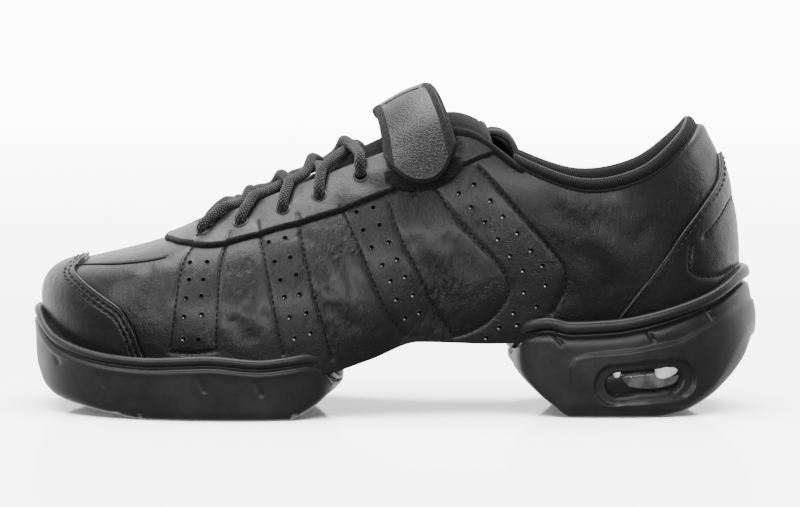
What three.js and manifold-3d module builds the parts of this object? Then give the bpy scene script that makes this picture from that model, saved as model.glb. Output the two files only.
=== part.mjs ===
// Left dance sneaker with a split sole, laces and an instep strap.
// Millimetres, Z up, toe at -X, heel at +X, lateral side at -Y, floor at Z 0.
import * as THREE from "three";
import Module from "manifold-3d";
import { mergeVertices } from "three/addons/utils/BufferGeometryUtils.js";

const wasm = await Module();
wasm.setup();

// Driving sizes
const LENGTH = 270;
const BALL_WIDTH = 96;
const INSTEP_HEIGHT = 104;
const HEEL_SEAT = 32;
const WALL = 2;
const GAP = 0.3;
const TURN_IN = 9;
const OVERLAY = 1.3;
const INSOLE_THICK = 3;
const INSOLE_INSET = WALL * 1.6;
const TONGUE_THICK = 4;
const STRAP_WIDTH = 23;
const STRAP_THICK = 3;
const STRAP_PATCH_THICK = 1.3;
const LACE_RADIUS = 1.65;
const RIM_BAND = 6.4;
const WINDOW_LONG = 37;
const WINDOW_HIGH = 14.6;
const WINDOW_LIP = 4;
const WINDOW_RECESS = 0.8;
const WINDOW_DEEP = 5.7;
const PANE_SUNK = 0.7;
const PANEL_STEP = 0.9;
const GROOVE_WIDE = 2.2;
const GROOVE_DEEP = 1.4;
const LOOP_THICK = 1.4;
const LINING_DEEP = 21.5;
const HEEL_RAKE = 4;
const SUNK = 0.8;

// Shares of the length, ball width, instep height and heel seat, one row per section
const FEATHER = [
  { t: 0, along: -0.474, lateral: 0.094, medial: 0.094, seat: 0.82 },
  { t: 0.08, along: -0.456, lateral: -0.115, medial: 0.27, seat: 0.77 },
  { t: 0.16, along: -0.404, lateral: -0.275, medial: 0.375, seat: 0.64 },
  { t: 0.25, along: -0.319, lateral: -0.39, medial: 0.432, seat: 0.51 },
  { t: 0.35, along: -0.215, lateral: -0.443, medial: 0.438, seat: 0.46 },
  { t: 0.45, along: -0.104, lateral: -0.425, medial: 0.385, seat: 0.5 },
  { t: 0.51, along: -0.037, lateral: -0.385, medial: 0.325, seat: 0.66 },
  { t: 0.57, along: 0.033, lateral: -0.345, medial: 0.275, seat: 0.86 },
  { t: 0.65, along: 0.126, lateral: -0.315, medial: 0.25, seat: 0.83 },
  { t: 0.75, along: 0.248, lateral: -0.307, medial: 0.275, seat: 0.88 },
  { t: 0.85, along: 0.363, lateral: -0.29, medial: 0.285, seat: 0.94 },
  { t: 0.93, along: 0.436, lateral: -0.2, medial: 0.205, seat: 0.98 },
  { t: 1, along: 0.467, lateral: 0, medial: 0, seat: 1 },
];
const EDGE = [
  { t: 0, along: -0.27, lateral: 0, medial: 0, high: 0.654 },
  { t: 0.08, along: -0.265, lateral: -0.08, medial: 0.08, high: 0.66 },
  { t: 0.16, along: -0.246, lateral: -0.13, medial: 0.13, high: 0.678 },
  { t: 0.25, along: -0.209, lateral: -0.152, medial: 0.148, high: 0.714 },
  { t: 0.35, along: -0.15, lateral: -0.163, medial: 0.156, high: 0.775 },
  { t: 0.45, along: -0.08, lateral: -0.178, medial: 0.168, high: 0.85 },
  { t: 0.55, along: -0.002, lateral: -0.193, medial: 0.18, high: 0.932 },
  { t: 0.62, along: 0.054, lateral: -0.21, medial: 0.196, high: 0.985 },
  { t: 0.68, along: 0.107, lateral: -0.245, medial: 0.225, high: 0.98 },
  { t: 0.75, along: 0.178, lateral: -0.315, medial: 0.275, high: 0.86 },
  { t: 0.82, along: 0.259, lateral: -0.35, medial: 0.3, high: 0.79 },
  { t: 0.89, along: 0.339, lateral: -0.3, medial: 0.27, high: 0.83 },
  { t: 0.95, along: 0.395, lateral: -0.175, medial: 0.165, high: 0.94 },
  { t: 1, along: 0.415, lateral: 0, medial: 0, high: 1.005 },
];
const SWELL = [
  { t: 0, rise: 0.37, lean: 0.115, reach: 0.42, drop: 0.2 },
  { t: 0.16, rise: 0.35, lean: 0.09, reach: 0.28, drop: 0.15 },
  { t: 0.25, rise: 0.32, lean: 0.07, reach: 0.22, drop: 0.1 },
  { t: 0.35, rise: 0.3, lean: 0.06, reach: 0.19, drop: 0.1 },
  { t: 0.45, rise: 0.3, lean: 0.05, reach: 0.16, drop: 0.12 },
  { t: 0.57, rise: 0.3, lean: 0.05, reach: 0.13, drop: 0.15 },
  { t: 0.68, rise: 0.26, lean: 0.05, reach: 0.1, drop: 0.16 },
  { t: 0.8, rise: 0.22, lean: 0.05, reach: 0.03, drop: 0.16 },
  { t: 0.9, rise: 0.22, lean: 0.045, reach: 0.05, drop: 0.13 },
  { t: 1, rise: 0.29, lean: 0.03, reach: 0.11, drop: 0.03 },
];

// A smooth closed run through the rows: 0 to 1 is the lateral side, 1 to 2 comes back medially
function ringOf(rows, heightOf) {
  const knots = rows.map((r) => ({
    s: r.t,
    p: [r.along * LENGTH, r.lateral * BALL_WIDTH, heightOf(r)],
  }));
  for (const r of rows.slice(1, -1).reverse()) {
    knots.push({ s: 2 - r.t, p: [r.along * LENGTH, r.medial * BALL_WIDTH, heightOf(r)] });
  }
  const n = knots.length;
  const knot = (i) => {
    const k = knots[((i % n) + n) % n];
    return { s: k.s + 2 * Math.floor(i / n), p: k.p };
  };
  return (s) => {
    const w = ((s % 2) + 2) % 2;
    let i = n - 1;
    while (knots[i].s > w) i -= 1;
    const [a, b, c, d] = [knot(i - 1), knot(i), knot(i + 1), knot(i + 2)];
    const h = c.s - b.s;
    const f = (w - b.s) / h;
    return b.p.map((_, j) => {
      const m0 = ((c.p[j] - a.p[j]) / (c.s - a.s)) * h;
      const m1 = ((d.p[j] - b.p[j]) / (d.s - b.s)) * h;
      const [f2, f3] = [f * f, f * f * f];
      return (
        (2 * f3 - 3 * f2 + 1) * b.p[j] + (f3 - 2 * f2 + f) * m0 +
        (3 * f2 - 2 * f3) * c.p[j] + (f3 - f2) * m1
      );
    });
  };
}

// A value of a table at x, smooth and never past its rows
function along(rows, key, value, x) {
  if (x <= rows[0][key]) return rows[0][value];
  const last = rows[rows.length - 1];
  if (x >= last[key]) return last[value];
  let i = 0;
  while (rows[i + 1][key] < x) i += 1;
  const slope = (j) => {
    if (j <= 0 || j >= rows.length - 1) return 0;
    const l = (rows[j][value] - rows[j - 1][value]) / (rows[j][key] - rows[j - 1][key]);
    const r = (rows[j + 1][value] - rows[j][value]) / (rows[j + 1][key] - rows[j][key]);
    return l * r <= 0 ? 0 : (2 * l * r) / (l + r);
  };
  const h = rows[i + 1][key] - rows[i][key];
  const f = (x - rows[i][key]) / h;
  const [f2, f3] = [f * f, f * f * f];
  return (
    (2 * f3 - 3 * f2 + 1) * rows[i][value] + (f3 - 2 * f2 + f) * h * slope(i) +
    (3 * f2 - 2 * f3) * rows[i + 1][value] + (f3 - f2) * h * slope(i + 1)
  );
}

// Height of the seat that the foot stands over, by position along the shoe
const seatAt = (x) => along(FEATHER, "along", "seat", x / LENGTH) * HEEL_SEAT;
const featherPlan = ringOf(FEATHER, () => 0);
function feather(s) {
  const [x, y] = featherPlan(s);
  return [x, y, seatAt(x)];
}
const edge = ringOf(EDGE, (r) => r.high * INSTEP_HEIGHT);
const fold = (s) => {
  const w = ((s % 2) + 2) % 2;
  return w > 1 ? 2 - w : w;
};

// Unit vector that points out of a ring in plan
function outOf(ring, s) {
  const [a, b] = [ring(s - 0.004), ring(s + 0.004)];
  const [dx, dy] = [b[0] - a[0], b[1] - a[1]];
  const l = Math.hypot(dx, dy);
  return [dy / l, -dx / l];
}

// Outer surface of the upper: s runs round the shoe, v from the feather line to the opening
function skin(s, v) {
  const [a, d] = [feather(s), edge(s)];
  const t = fold(s);
  const [fx, fy] = outOf(feather, s);
  const [ex, ey] = outOf(edge, s);
  const away = Math.hypot(a[0] - d[0], a[1] - d[1]);
  let [mx, my] = [ex + (a[0] - d[0]) / away, ey + (a[1] - d[1]) / away];
  const m = Math.hypot(mx, my);
  [mx, my] = [mx / m, my / m];
  const lean = along(SWELL, "t", "lean", t) * BALL_WIDTH;
  const rise = along(SWELL, "t", "rise", t) * INSTEP_HEIGHT;
  const reach = along(SWELL, "t", "reach", t) * BALL_WIDTH;
  const drop = along(SWELL, "t", "drop", t) * INSTEP_HEIGHT;
  const b = [a[0] + fx * lean, a[1] + fy * lean, a[2] + rise];
  const c = [d[0] + mx * reach, d[1] + my * reach, d[2] - drop];
  const u = 1 - v;
  return [0, 1, 2].map(
    (j) => u * u * u * a[j] + 3 * u * u * v * b[j] + 3 * u * v * v * c[j] + v * v * v * d[j],
  );
}

// Outward normal of that surface
function normal(s, v) {
  const v0 = Math.min(Math.max(0, v - 0.01), 0.98);
  const v1 = v0 + 0.02;
  const [a, b] = [skin(s - 0.004, v), skin(s + 0.004, v)];
  const [c, d] = [skin(s, v0), skin(s, v1)];
  const p = new THREE.Vector3(b[0] - a[0], b[1] - a[1], b[2] - a[2]);
  const q = new THREE.Vector3(d[0] - c[0], d[1] - c[1], d[2] - c[2]);
  return p.cross(q).normalize().toArray();
}

// A point of the surface lifted by out along its normal
function lifted(s, v, out) {
  const [p, n] = [skin(s, v), normal(s, v)];
  return [p[0] + n[0] * out, p[1] + n[1] * out, p[2] + n[2] * out];
}

// Solids
const AROUND = 48;
const UP = 7;
const FORE_STEPS = 32;
const HEEL_STEPS = 26;
const LINING_STEPS = 24;
const LACE_SIDES = 8;
const LACE_STEPS = 7;

function closed(points, faces) {
  return new wasm.Manifold(
    new wasm.Mesh({
      numProp: 3,
      vertProperties: new Float32Array(points.flat()),
      triVerts: new Uint32Array(faces.flat()),
    }),
  );
}

// A shape's geometry as a solid
function solidOf(geometry) {
  geometry.deleteAttribute("normal");
  geometry.deleteAttribute("uv");
  const merged = mergeVertices(geometry, 1e-4);
  return new wasm.Manifold(
    new wasm.Mesh({
      numProp: 3,
      vertProperties: merged.attributes.position.array,
      triVerts: new Uint32Array(merged.index.array),
    }),
  );
}

// Rings stacked upwards, each with the same even number of points, closed across at both ends
function stack(rings) {
  const n = rings[0].length;
  const faces = [];
  for (let k = 0; k + 1 < rings.length; k += 1) {
    for (let i = 0; i < n; i += 1) {
      const j = (i + 1) % n;
      const [a, b, c, d] = [k * n + i, k * n + j, (k + 1) * n + j, (k + 1) * n + i];
      faces.push([a, b, c], [a, c, d]);
    }
  }
  const top = (rings.length - 1) * n;
  for (let i = 0; i < n / 2; i += 1) {
    const [a, b, c, d] = [i, i + 1, (n - i - 1) % n, (n - i) % n];
    if (i > 0) faces.push([top + a, top + b, top + d], [a, d, b]);
    if (i < n / 2 - 1) faces.push([top + b, top + c, top + d], [b, d, c]);
  }
  return closed(rings.flat(), faces);
}

// Columns round the shoe, each a closed loop of points
function hoop(columns) {
  const [n, m] = [columns.length, columns[0].length];
  const faces = [];
  for (let i = 0; i < n; i += 1) {
    for (let k = 0; k < m; k += 1) {
      const [j, l] = [(i + 1) % n, (k + 1) % m];
      const [a, b, c, d] = [i * m + k, j * m + k, j * m + l, i * m + l];
      faces.push([a, b, c], [a, c, d]);
    }
  }
  return closed(columns.flat(), faces);
}

// Loops of points in a row, closed at both ends
function run(loops) {
  const [n, m] = [loops.length, loops[0].length];
  const faces = [];
  for (let i = 0; i + 1 < n; i += 1) {
    for (let k = 0; k < m; k += 1) {
      const l = (k + 1) % m;
      const [a, b, c, d] = [i * m + k, (i + 1) * m + k, (i + 1) * m + l, i * m + l];
      faces.push([a, b, c], [a, c, d]);
    }
  }
  const last = (n - 1) * m;
  for (let k = 0; k < m / 2 - 1; k += 1) {
    const [a, b, c, d] = [k, k + 1, m - 2 - k, m - 1 - k];
    faces.push([a, b, d], [last + a, last + d, last + b]);
    if (b !== c) faces.push([b, c, d], [last + b, last + d, last + c]);
  }
  return closed(loops.flat(), faces);
}

// A patch with an outer and an inner face, as loops across its length
function patch(count, rows, outer, inner) {
  return run(
    Array.from({ length: count + 1 }, (_, i) => [
      ...Array.from({ length: rows + 1 }, (_, j) => outer(i / count, j / rows)),
      ...Array.from({ length: rows + 1 }, (_, j) => inner(i / count, 1 - j / rows)),
    ]),
  );
}

const round = (of) => Array.from({ length: AROUND }, (_, i) => of((2 * i) / AROUND));

// The upper's outer form grown by out, filled
function form(out) {
  const foot = round((s) => {
    const [p, n] = [feather(s), outOf(feather, s)];
    const x = p[0] + n[0] * out;
    return [x, p[1] + n[1] * out, seatAt(x) - out];
  });
  const rings = Array.from({ length: UP + 1 }, (_, j) => round((s) => lifted(s, j / UP, out)));
  return stack([foot, ...rings]);
}

const clear = form(GAP);

// The stretch of the waist whose underside the upper itself closes
const WAIST = [0.43, 0.7];
const PLATE_INSIDE = 0.05;

function upper() {
  const shell = hoop(
    round((s) => {
      const [p, n] = [feather(s), outOf(feather, s)];
      const inset = (d, up) => {
        const x = p[0] - n[0] * d;
        return [x, p[1] - n[1] * d, seatAt(x) + up];
      };
      return [
        ...Array.from({ length: UP + 1 }, (_, j) => skin(s, j / UP)),
        ...Array.from({ length: UP }, (_, j) => lifted(s, 1 - j / UP, -WALL)),
        inset(WALL, WALL),
        inset(TURN_IN, WALL),
        inset(TURN_IN, 0),
      ];
    }),
  );
  const [first, last] = WAIST.map((t) => Math.round((t * AROUND) / 2));
  const steps = last - first;
  const [from, to] = [(2 * first) / AROUND, (2 * last) / AROUND];
  const plate = patch(
    steps,
    1,
    (i, j) => waistPoint(from + (to - from) * i, j, PLATE_INSIDE),
    (i, j) => waistPoint(from + (to - from) * i, j, WALL - PLATE_INSIDE),
  );
  return shell.add(plate);
}

// A point across the waist's underside
function waistPoint(t, share, high) {
  const [a, b] = [feather(t), feather(2 - t)];
  const [na, nb] = [outOf(feather, t), outOf(feather, 2 - t)];
  const m = INSOLE_INSET;
  const [px, qx] = [a[0] - na[0] * m, b[0] - nb[0] * m];
  const [p, q] = [
    [px, a[1] - na[1] * m, seatAt(px)],
    [qx, b[1] - nb[1] * m, seatAt(qx)],
  ];
  const k = 1 - share;
  return [p[0] * share + q[0] * k, p[1] * share + q[1] * k, p[2] * share + q[2] * k + high];
}

// Sole units: plan rings and edge heights, as shares of the length, ball width and heel seat
const FORE_PLAN = [
  { t: 0, along: -0.5, lateral: 0.094, medial: 0.094 },
  { t: 0.08, along: -0.481, lateral: -0.155, medial: 0.32 },
  { t: 0.17, along: -0.426, lateral: -0.33, medial: 0.435 },
  { t: 0.28, along: -0.337, lateral: -0.452, medial: 0.492 },
  { t: 0.4, along: -0.245, lateral: -0.497, medial: 0.503 },
  { t: 0.54, along: -0.163, lateral: -0.49, medial: 0.46 },
  { t: 0.68, along: -0.108, lateral: -0.445, medial: 0.39 },
  { t: 0.8, along: -0.082, lateral: -0.365, medial: 0.3 },
  { t: 0.9, along: -0.072, lateral: -0.21, medial: 0.15 },
  { t: 1, along: -0.071, lateral: -0.03, medial: -0.03 },
];
const HEEL_PLAN = [
  { t: 0, along: 0.152, lateral: -0.03, medial: -0.03 },
  { t: 0.07, along: 0.155, lateral: -0.17, medial: 0.11 },
  { t: 0.16, along: 0.17, lateral: -0.32, medial: 0.255 },
  { t: 0.28, along: 0.215, lateral: -0.375, medial: 0.315 },
  { t: 0.44, along: 0.29, lateral: -0.39, medial: 0.35 },
  { t: 0.6, along: 0.365, lateral: -0.375, medial: 0.355 },
  { t: 0.76, along: 0.435, lateral: -0.305, medial: 0.3 },
  { t: 0.89, along: 0.484, lateral: -0.17, medial: 0.17 },
  { t: 1, along: 0.5035, lateral: 0, medial: 0 },
];
const FORE_EDGES = [
  { along: -0.5, top: 1.17, bottom: 0.42 },
  { along: -0.485, top: 1.03, bottom: 0.27 },
  { along: -0.468, top: 0.91, bottom: 0.19 },
  { along: -0.428, top: 0.79, bottom: 0.11 },
  { along: -0.383, top: 0.73, bottom: 0.045 },
  { along: -0.335, top: 0.71, bottom: 0 },
  { along: -0.25, top: 0.74, bottom: 0 },
  { along: -0.18, top: 0.695, bottom: 0 },
  { along: -0.142, top: 0.725, bottom: 0 },
  { along: -0.118, top: 0.75, bottom: 0.08 },
  { along: -0.097, top: 0.72, bottom: 0.18 },
  { along: -0.083, top: 0.57, bottom: 0.28 },
  { along: -0.071, top: 0.45, bottom: 0.34 },
];
const HEEL_EDGES = [
  { along: 0.152, top: 0.84, bottom: 0.58 },
  { along: 0.16, top: 0.97, bottom: 0.5 },
  { along: 0.178, top: 1.1, bottom: 0.36 },
  { along: 0.207, top: 1.145, bottom: 0.16 },
  { along: 0.236, top: 1.1, bottom: 0 },
  { along: 0.296, top: 1.125, bottom: 0 },
  { along: 0.356, top: 1.22, bottom: 0 },
  { along: 0.386, top: 1.29, bottom: 0.04 },
  { along: 0.432, top: 1.42, bottom: 0.21 },
  { along: 0.461, top: 1.53, bottom: 0.4 },
  { along: 0.485, top: 1.63, bottom: 0.62 },
  { along: 0.5, top: 1.66, bottom: 0.84 },
];
// Wall of each unit from the floor to its rim, as shares of the rim band: step out, and depth below
// the rim or share of the body under it
const FORE_WALL = [
  { out: -0.625, share: 0 },
  { out: -0.3438, share: 0 },
  { out: -0.1562, share: 0.12 },
  { out: -0.0937, share: 0.55 },
  { out: -0.0781, share: 0.9 },
  { out: 0, share: 1 },
  { out: -0.0625, below: 0.7187 },
  { out: -0.2344, below: 0.6094 },
  { out: -0.0781, below: 0.5 },
  { out: -0.0156, below: 0.25 },
  { out: -0.1719, below: 0 },
];
const HEEL_WALL = [
  { out: -0.625, share: 0 },
  { out: -0.375, share: 0 },
  { out: -0.25, share: 0.1 },
  { out: -0.1562, share: 0.5 },
  { out: -0.1875, share: 0.97 },
  { out: -0.3125, share: 1 },
  { out: -0.4375, below: 0.875 },
  { out: -0.4375, below: 0.7187 },
  { out: -0.0781, below: 0.625 },
  { out: 0, below: 0.3125 },
  { out: -0.1875, below: 0 },
];

function soleUnit(plan, edges, wall, steps, rake, grow = 0) {
  const plane = ringOf(plan, () => 0);
  const ring = (row) =>
    Array.from({ length: steps }, (_, i) => {
      const s = (2 * i) / steps;
      const [p, n] = [plane(s), outOf(plane, s)];
      const a = p[0] / LENGTH;
      const top = along(edges, "along", "top", a) * HEEL_SEAT;
      const bottom = along(edges, "along", "bottom", a) * HEEL_SEAT;
      const k = Math.min(1, (top - bottom) / (RIM_BAND * 1.47));
      const body = top - RIM_BAND * k - bottom;
      const z = row.below === undefined ? bottom + body * row.share : top - row.below * RIM_BAND * k;
      const back = rake * Math.max(0, (a - 0.4) * 10) ** 2 * ((z - bottom) / (top - bottom));
      const out = row.out * RIM_BAND + (row.share > 0.05 && row.share < 0.98 ? grow : 0);
      return [p[0] + n[0] * out - back, p[1] + n[1] * out, z];
    });
  return stack(wall.map(ring));
}

// A solid cut out in side view: points are [x, z], from y0 to y1
function sideCut(points, y0, y1) {
  const outline = new THREE.Shape(points.map(([x, z]) => new THREE.Vector2(x, z)));
  const block = new THREE.ExtrudeGeometry(outline, { depth: y1 - y0, bevelEnabled: false });
  return solidOf(block.rotateX(Math.PI / 2).translate(0, y1, 0));
}

// A slot with round ends, tilted in side view
function slot(x, z, long, high, tilt) {
  const r = high / 2;
  const points = [];
  for (let i = 0; i < 20; i += 1) {
    const a = ((i < 10 ? i : i - 1) / 9) * Math.PI - Math.PI / 2;
    const [px, pz] = [r * Math.cos(a) + (i < 10 ? 1 : -1) * (long / 2 - r), r * Math.sin(a)];
    points.push([
      x + px * Math.cos(tilt) - pz * Math.sin(tilt),
      z + px * Math.sin(tilt) + pz * Math.cos(tilt),
    ]);
  }
  return points;
}

// Overlays between two larger forms of the upper, from one height on the skin to another
const GUARD = [
  { t: 0, top: 0.58 },
  { t: 0.035, top: 0.555 },
  { t: 0.06, top: 0.48 },
  { t: 0.075, top: 0.425 },
  { t: 0.105, top: 0.37 },
  { t: 0.137, top: 0.32 },
  { t: 0.17, top: 0.274 },
  { t: 0.192, top: 0.241 },
  { t: 0.216, top: 0.155 },
  { t: 0.236, top: 0.05 },
];
const COUNTER = [
  { t: 0.788, top: 0.05 },
  { t: 0.803, top: 0.13 },
  { t: 0.835, top: 0.288 },
  { t: 0.87, top: 0.439 },
  { t: 0.91, top: 0.575 },
  { t: 0.94, top: 0.615 },
  { t: 0.97, top: 0.64 },
  { t: 1, top: 0.72 },
];
const EYESTAY = [
  { t: 0, low: 0.9 },
  { t: 0.1, low: 0.86 },
  { t: 0.185, low: 0.76 },
  { t: 0.265, low: 0.66 },
  { t: 0.32, low: 0.676 },
  { t: 0.427, low: 0.701 },
  { t: 0.514, low: 0.722 },
  { t: 0.592, low: 0.749 },
  { t: 0.652, low: 0.796 },
  { t: 0.69, low: 0.887 },
  { t: 0.71, low: 0.96 },
];

function overlay(from, to, steps, rows, low, high, grow = 0) {
  const at = (i, j) => {
    const s = from + (to - from) * i;
    const [a, b] = [low(fold(s)), high(fold(s))];
    return [s, a + (b - a) * j];
  };
  return patch(
    steps,
    rows,
    (i, j) => lifted(...at(i, j), GAP + OVERLAY + grow),
    (i, j) => lifted(...at(i, j), -SUNK),
  );
}
const guardTop = (grow) => (t) => along(GUARD, "t", "top", t) + grow;
const counterTop = (grow) => (t) => along(COUNTER, "t", "top", t) + grow;
const BASE = -0.03;
const [GUARD_END, COUNTER_END, EYESTAY_END] = [0.236, 0.788, 0.708];
const EYESTAY_STEPS = 38;

const guard = overlay(-GUARD_END, GUARD_END, 22, 5, () => 0.02, guardTop(0)).subtract(clear);
const counter = overlay(COUNTER_END, 2 - COUNTER_END, 20, 5, () => 0.02, counterTop(0)).subtract(
  clear,
);
const eyestay = overlay(
  -EYESTAY_END,
  EYESTAY_END,
  EYESTAY_STEPS,
  2,
  (t) => along(EYESTAY, "t", "low", t),
  () => 0.99,
).subtract(clear);
// Room for the overlays inside the sole's rim
const overlayRoom = [
  overlay(-GUARD_END - 0.01, GUARD_END + 0.01, 24, 5, () => BASE, guardTop(0.03), GAP * 1.67),
  overlay(COUNTER_END - 0.01, 2 - COUNTER_END + 0.01, 20, 5, () => BASE, counterTop(0.03), GAP * 1.33),
];

const eyestayRoom = overlay(
  -EYESTAY_END,
  EYESTAY_END,
  EYESTAY_STEPS,
  2,
  (t) => along(EYESTAY, "t", "low", t) - 0.012,
  () => 1,
  GAP,
);

// Forefoot sole: cup, toe spring, flexing grooves and a turning disc
const DISC_X = LENGTH * -0.24;
const DISC_RADIUS = BALL_WIDTH * 0.22;
const FORE_GROOVES = [-1.75, -1.35, 1.35];
function groove(x) {
  return solidOf(new THREE.BoxGeometry(GROOVE_WIDE, 2 * BALL_WIDTH, 2 * GROOVE_DEEP).translate(x, 0, 0));
}
function disc(radius, high) {
  const drum = new THREE.CylinderGeometry(radius, radius, high, 28);
  return solidOf(drum.rotateX(Math.PI / 2).translate(DISC_X, 0, 0));
}
function foreSole() {
  let sole = soleUnit(FORE_PLAN, FORE_EDGES, FORE_WALL, FORE_STEPS, 0);
  sole = sole.subtract(clear).subtract(overlayRoom[0]);
  const ring = disc(DISC_RADIUS, 2 * GROOVE_DEEP).subtract(
    disc(DISC_RADIUS - GROOVE_WIDE, 4 * GROOVE_DEEP),
  );
  sole = sole.subtract(ring);
  for (const k of FORE_GROOVES) {
    sole = sole.subtract(groove(DISC_X + DISC_RADIUS * k));
  }
  return sole;
}

// Heel sole: cup, raised side panels, a window each side and tread grooves
const WINDOW_X = LENGTH * 0.338;
const WINDOW_Z = HEEL_SEAT * 0.4;
const WINDOW_TILT = 0.09;
const HEEL_GROOVES = [0.26, 0.295, 0.33];
const PANEL = [
  { along: 0.236, high: 0.1 },
  { along: 0.54, high: 0.1 },
  { along: 0.54, high: 1.3 },
  { along: 0.478, high: 1.26 },
  { along: 0.46, high: 1.22 },
  { along: 0.432, high: 1.08 },
  { along: 0.386, high: 0.88 },
  { along: 0.326, high: 0.78 },
  { along: 0.262, high: 0.73 },
  { along: 0.243, high: 0.68 },
  { along: 0.236, high: 0.58 },
];
const heelUnit = (grow) => soleUnit(HEEL_PLAN, HEEL_EDGES, HEEL_WALL, HEEL_STEPS, HEEL_RAKE, grow);
const windowCut = (inset, y0, y1) =>
  sideCut(
    slot(WINDOW_X, WINDOW_Z, WINDOW_LONG - 2 * inset, WINDOW_HIGH - 2 * inset * 0.7, WINDOW_TILT),
    y0,
    y1,
  );
function heelSole() {
  const shape = PANEL.map((r) => [r.along * LENGTH, r.high * HEEL_SEAT]);
  const raised = heelUnit(PANEL_STEP).intersect(sideCut(shape, -BALL_WIDTH, BALL_WIDTH));
  const recess = windowCut(0, -BALL_WIDTH, BALL_WIDTH).subtract(heelUnit(-WINDOW_RECESS));
  const pocket = windowCut(WINDOW_LIP, -BALL_WIDTH, BALL_WIDTH).subtract(
    heelUnit(-WINDOW_RECESS - WINDOW_DEEP),
  );
  let sole = heelUnit(0).add(raised).subtract(recess).subtract(pocket);
  sole = sole.subtract(clear).subtract(overlayRoom[1]);
  for (const k of HEEL_GROOVES) {
    sole = sole.subtract(groove(LENGTH * k));
  }
  return sole;
}
function pane(y0, y1) {
  return windowCut(WINDOW_LIP + GAP, y0, y1)
    .intersect(heelUnit(-WINDOW_RECESS - PANE_SUNK))
    .subtract(heelUnit(-WINDOW_RECESS - WINDOW_DEEP + GAP));
}

// A point over the opening from the lateral edge (f 0) to the medial edge (f 1)
function bridge(t, f, out, v = 1, pull = 0.75, tm = t) {
  const [a, b] = [lifted(t, v, out), lifted(2 - tm, v, out)];
  const tangent = (s) => {
    const [p, q] = [lifted(s, v - 0.06, out), lifted(s, v, out)];
    const d = [q[0] - p[0], q[1] - p[1], q[2] - p[2]];
    const l = Math.hypot(...d);
    return d.map((x) => x / l);
  };
  const [ta, tb] = [tangent(t), tangent(2 - tm)];
  const m = pull * Math.hypot(a[0] - b[0], a[1] - b[1], a[2] - b[2]) * 1.6;
  const [f2, f3] = [f * f, f * f * f];
  return a.map(
    (_, j) =>
      (2 * f3 - 3 * f2 + 1) * a[j] + (f3 - 2 * f2 + f) * m * ta[j] +
      (3 * f2 - 2 * f3) * b[j] - (f3 - f2) * m * tb[j],
  );
}

// Tongue: under both edges of the throat and across it
const TONGUE_FROM = 0.13;
const TONGUE_TO = 0.7;
const TONGUE_DIP = 0.2;
const TONGUE_GAP = WALL + GAP * 1.83;
const TONGUE_ROOT = LENGTH * 0.08;
function tonguePoint(i, j, out) {
  if (i === 0) {
    const [x, y, z] = tonguePoint(0.001, j, out);
    return [x - TONGUE_ROOT, y * 0.6, z - TONGUE_ROOT * 0.48];
  }
  const t = TONGUE_FROM + (TONGUE_TO - TONGUE_FROM) * i;
  const under = 0.17;
  if (j < under) return lifted(t, 0.84 + (0.16 * j) / under, out);
  if (j > 1 - under) return lifted(2 - t, 0.84 + (0.16 * (1 - j)) / under, out);
  return bridge(t, (j - under) / (1 - 2 * under), out, 1, 0.75 - TONGUE_DIP * i ** 4);
}
const tongue = patch(
  15,
  8,
  (i, j) => tonguePoint(i, j, -TONGUE_GAP),
  (i, j) => tonguePoint(i, j, -TONGUE_GAP - TONGUE_THICK),
);

function insole() {
  const inset = (d, up) =>
    round((s) => {
      const [p, n] = [feather(s), outOf(feather, s)];
      const x = p[0] - n[0] * d;
      return [x, p[1] - n[1] * d, seatAt(x) + WALL + GAP * 1.5 + up];
    });
  const side = INSOLE_INSET;
  return stack([inset(side, 0), inset(side, INSOLE_THICK * 0.6), inset(side + WALL * 0.6, INSOLE_THICK)]);
}

// Collar lining: a padded roll over the collar's edge that runs down inside it, rise and step out
// as shares of its depth
const LINING = [
  { rise: 0.0326, out: -0.014 },
  { rise: 0.0744, out: 0.0186 },
  { rise: 0.1674, out: -0.0093 },
  { rise: 0.2233, out: -0.093 },
  { rise: 0.2, out: -0.2047 },
  { rise: 0.0698, out: -0.2977 },
  { rise: -0.2791, out: -0.3256 },
  { rise: -0.6512, out: -0.2791 },
  { rise: -0.9767, out: -0.1953 },
  { rise: -1, out: -0.1395 },
  { rise: -0.6512, out: -0.15 },
  { rise: -0.2791, out: -0.165 },
  { rise: -0.0233, out: -0.174 },
  { rise: 0.0326, out: -0.137 },
];
function liningPoint(s, row) {
  const [p, q] = [skin(s, 0.94), skin(s, 1)];
  const d = [q[0] - p[0], q[1] - p[1], q[2] - p[2]];
  const l = Math.hypot(...d);
  const [rise, out] = [row.rise * LINING_DEEP, row.out * LINING_DEEP];
  if (rise <= 0) return lifted(s, 1 + (rise / l) * 0.06, out);
  const e = lifted(s, 1, out);
  return e.map((x, j) => x + (d[j] / l) * rise);
}
const LINING_FROM = 0.735;
const collarLining = run(
  Array.from({ length: LINING_STEPS + 1 }, (_, i) => {
    const s = LINING_FROM + ((2 - 2 * LINING_FROM) * i) / LINING_STEPS;
    return LINING.map((row) => liningPoint(s, row));
  }),
);

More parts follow.
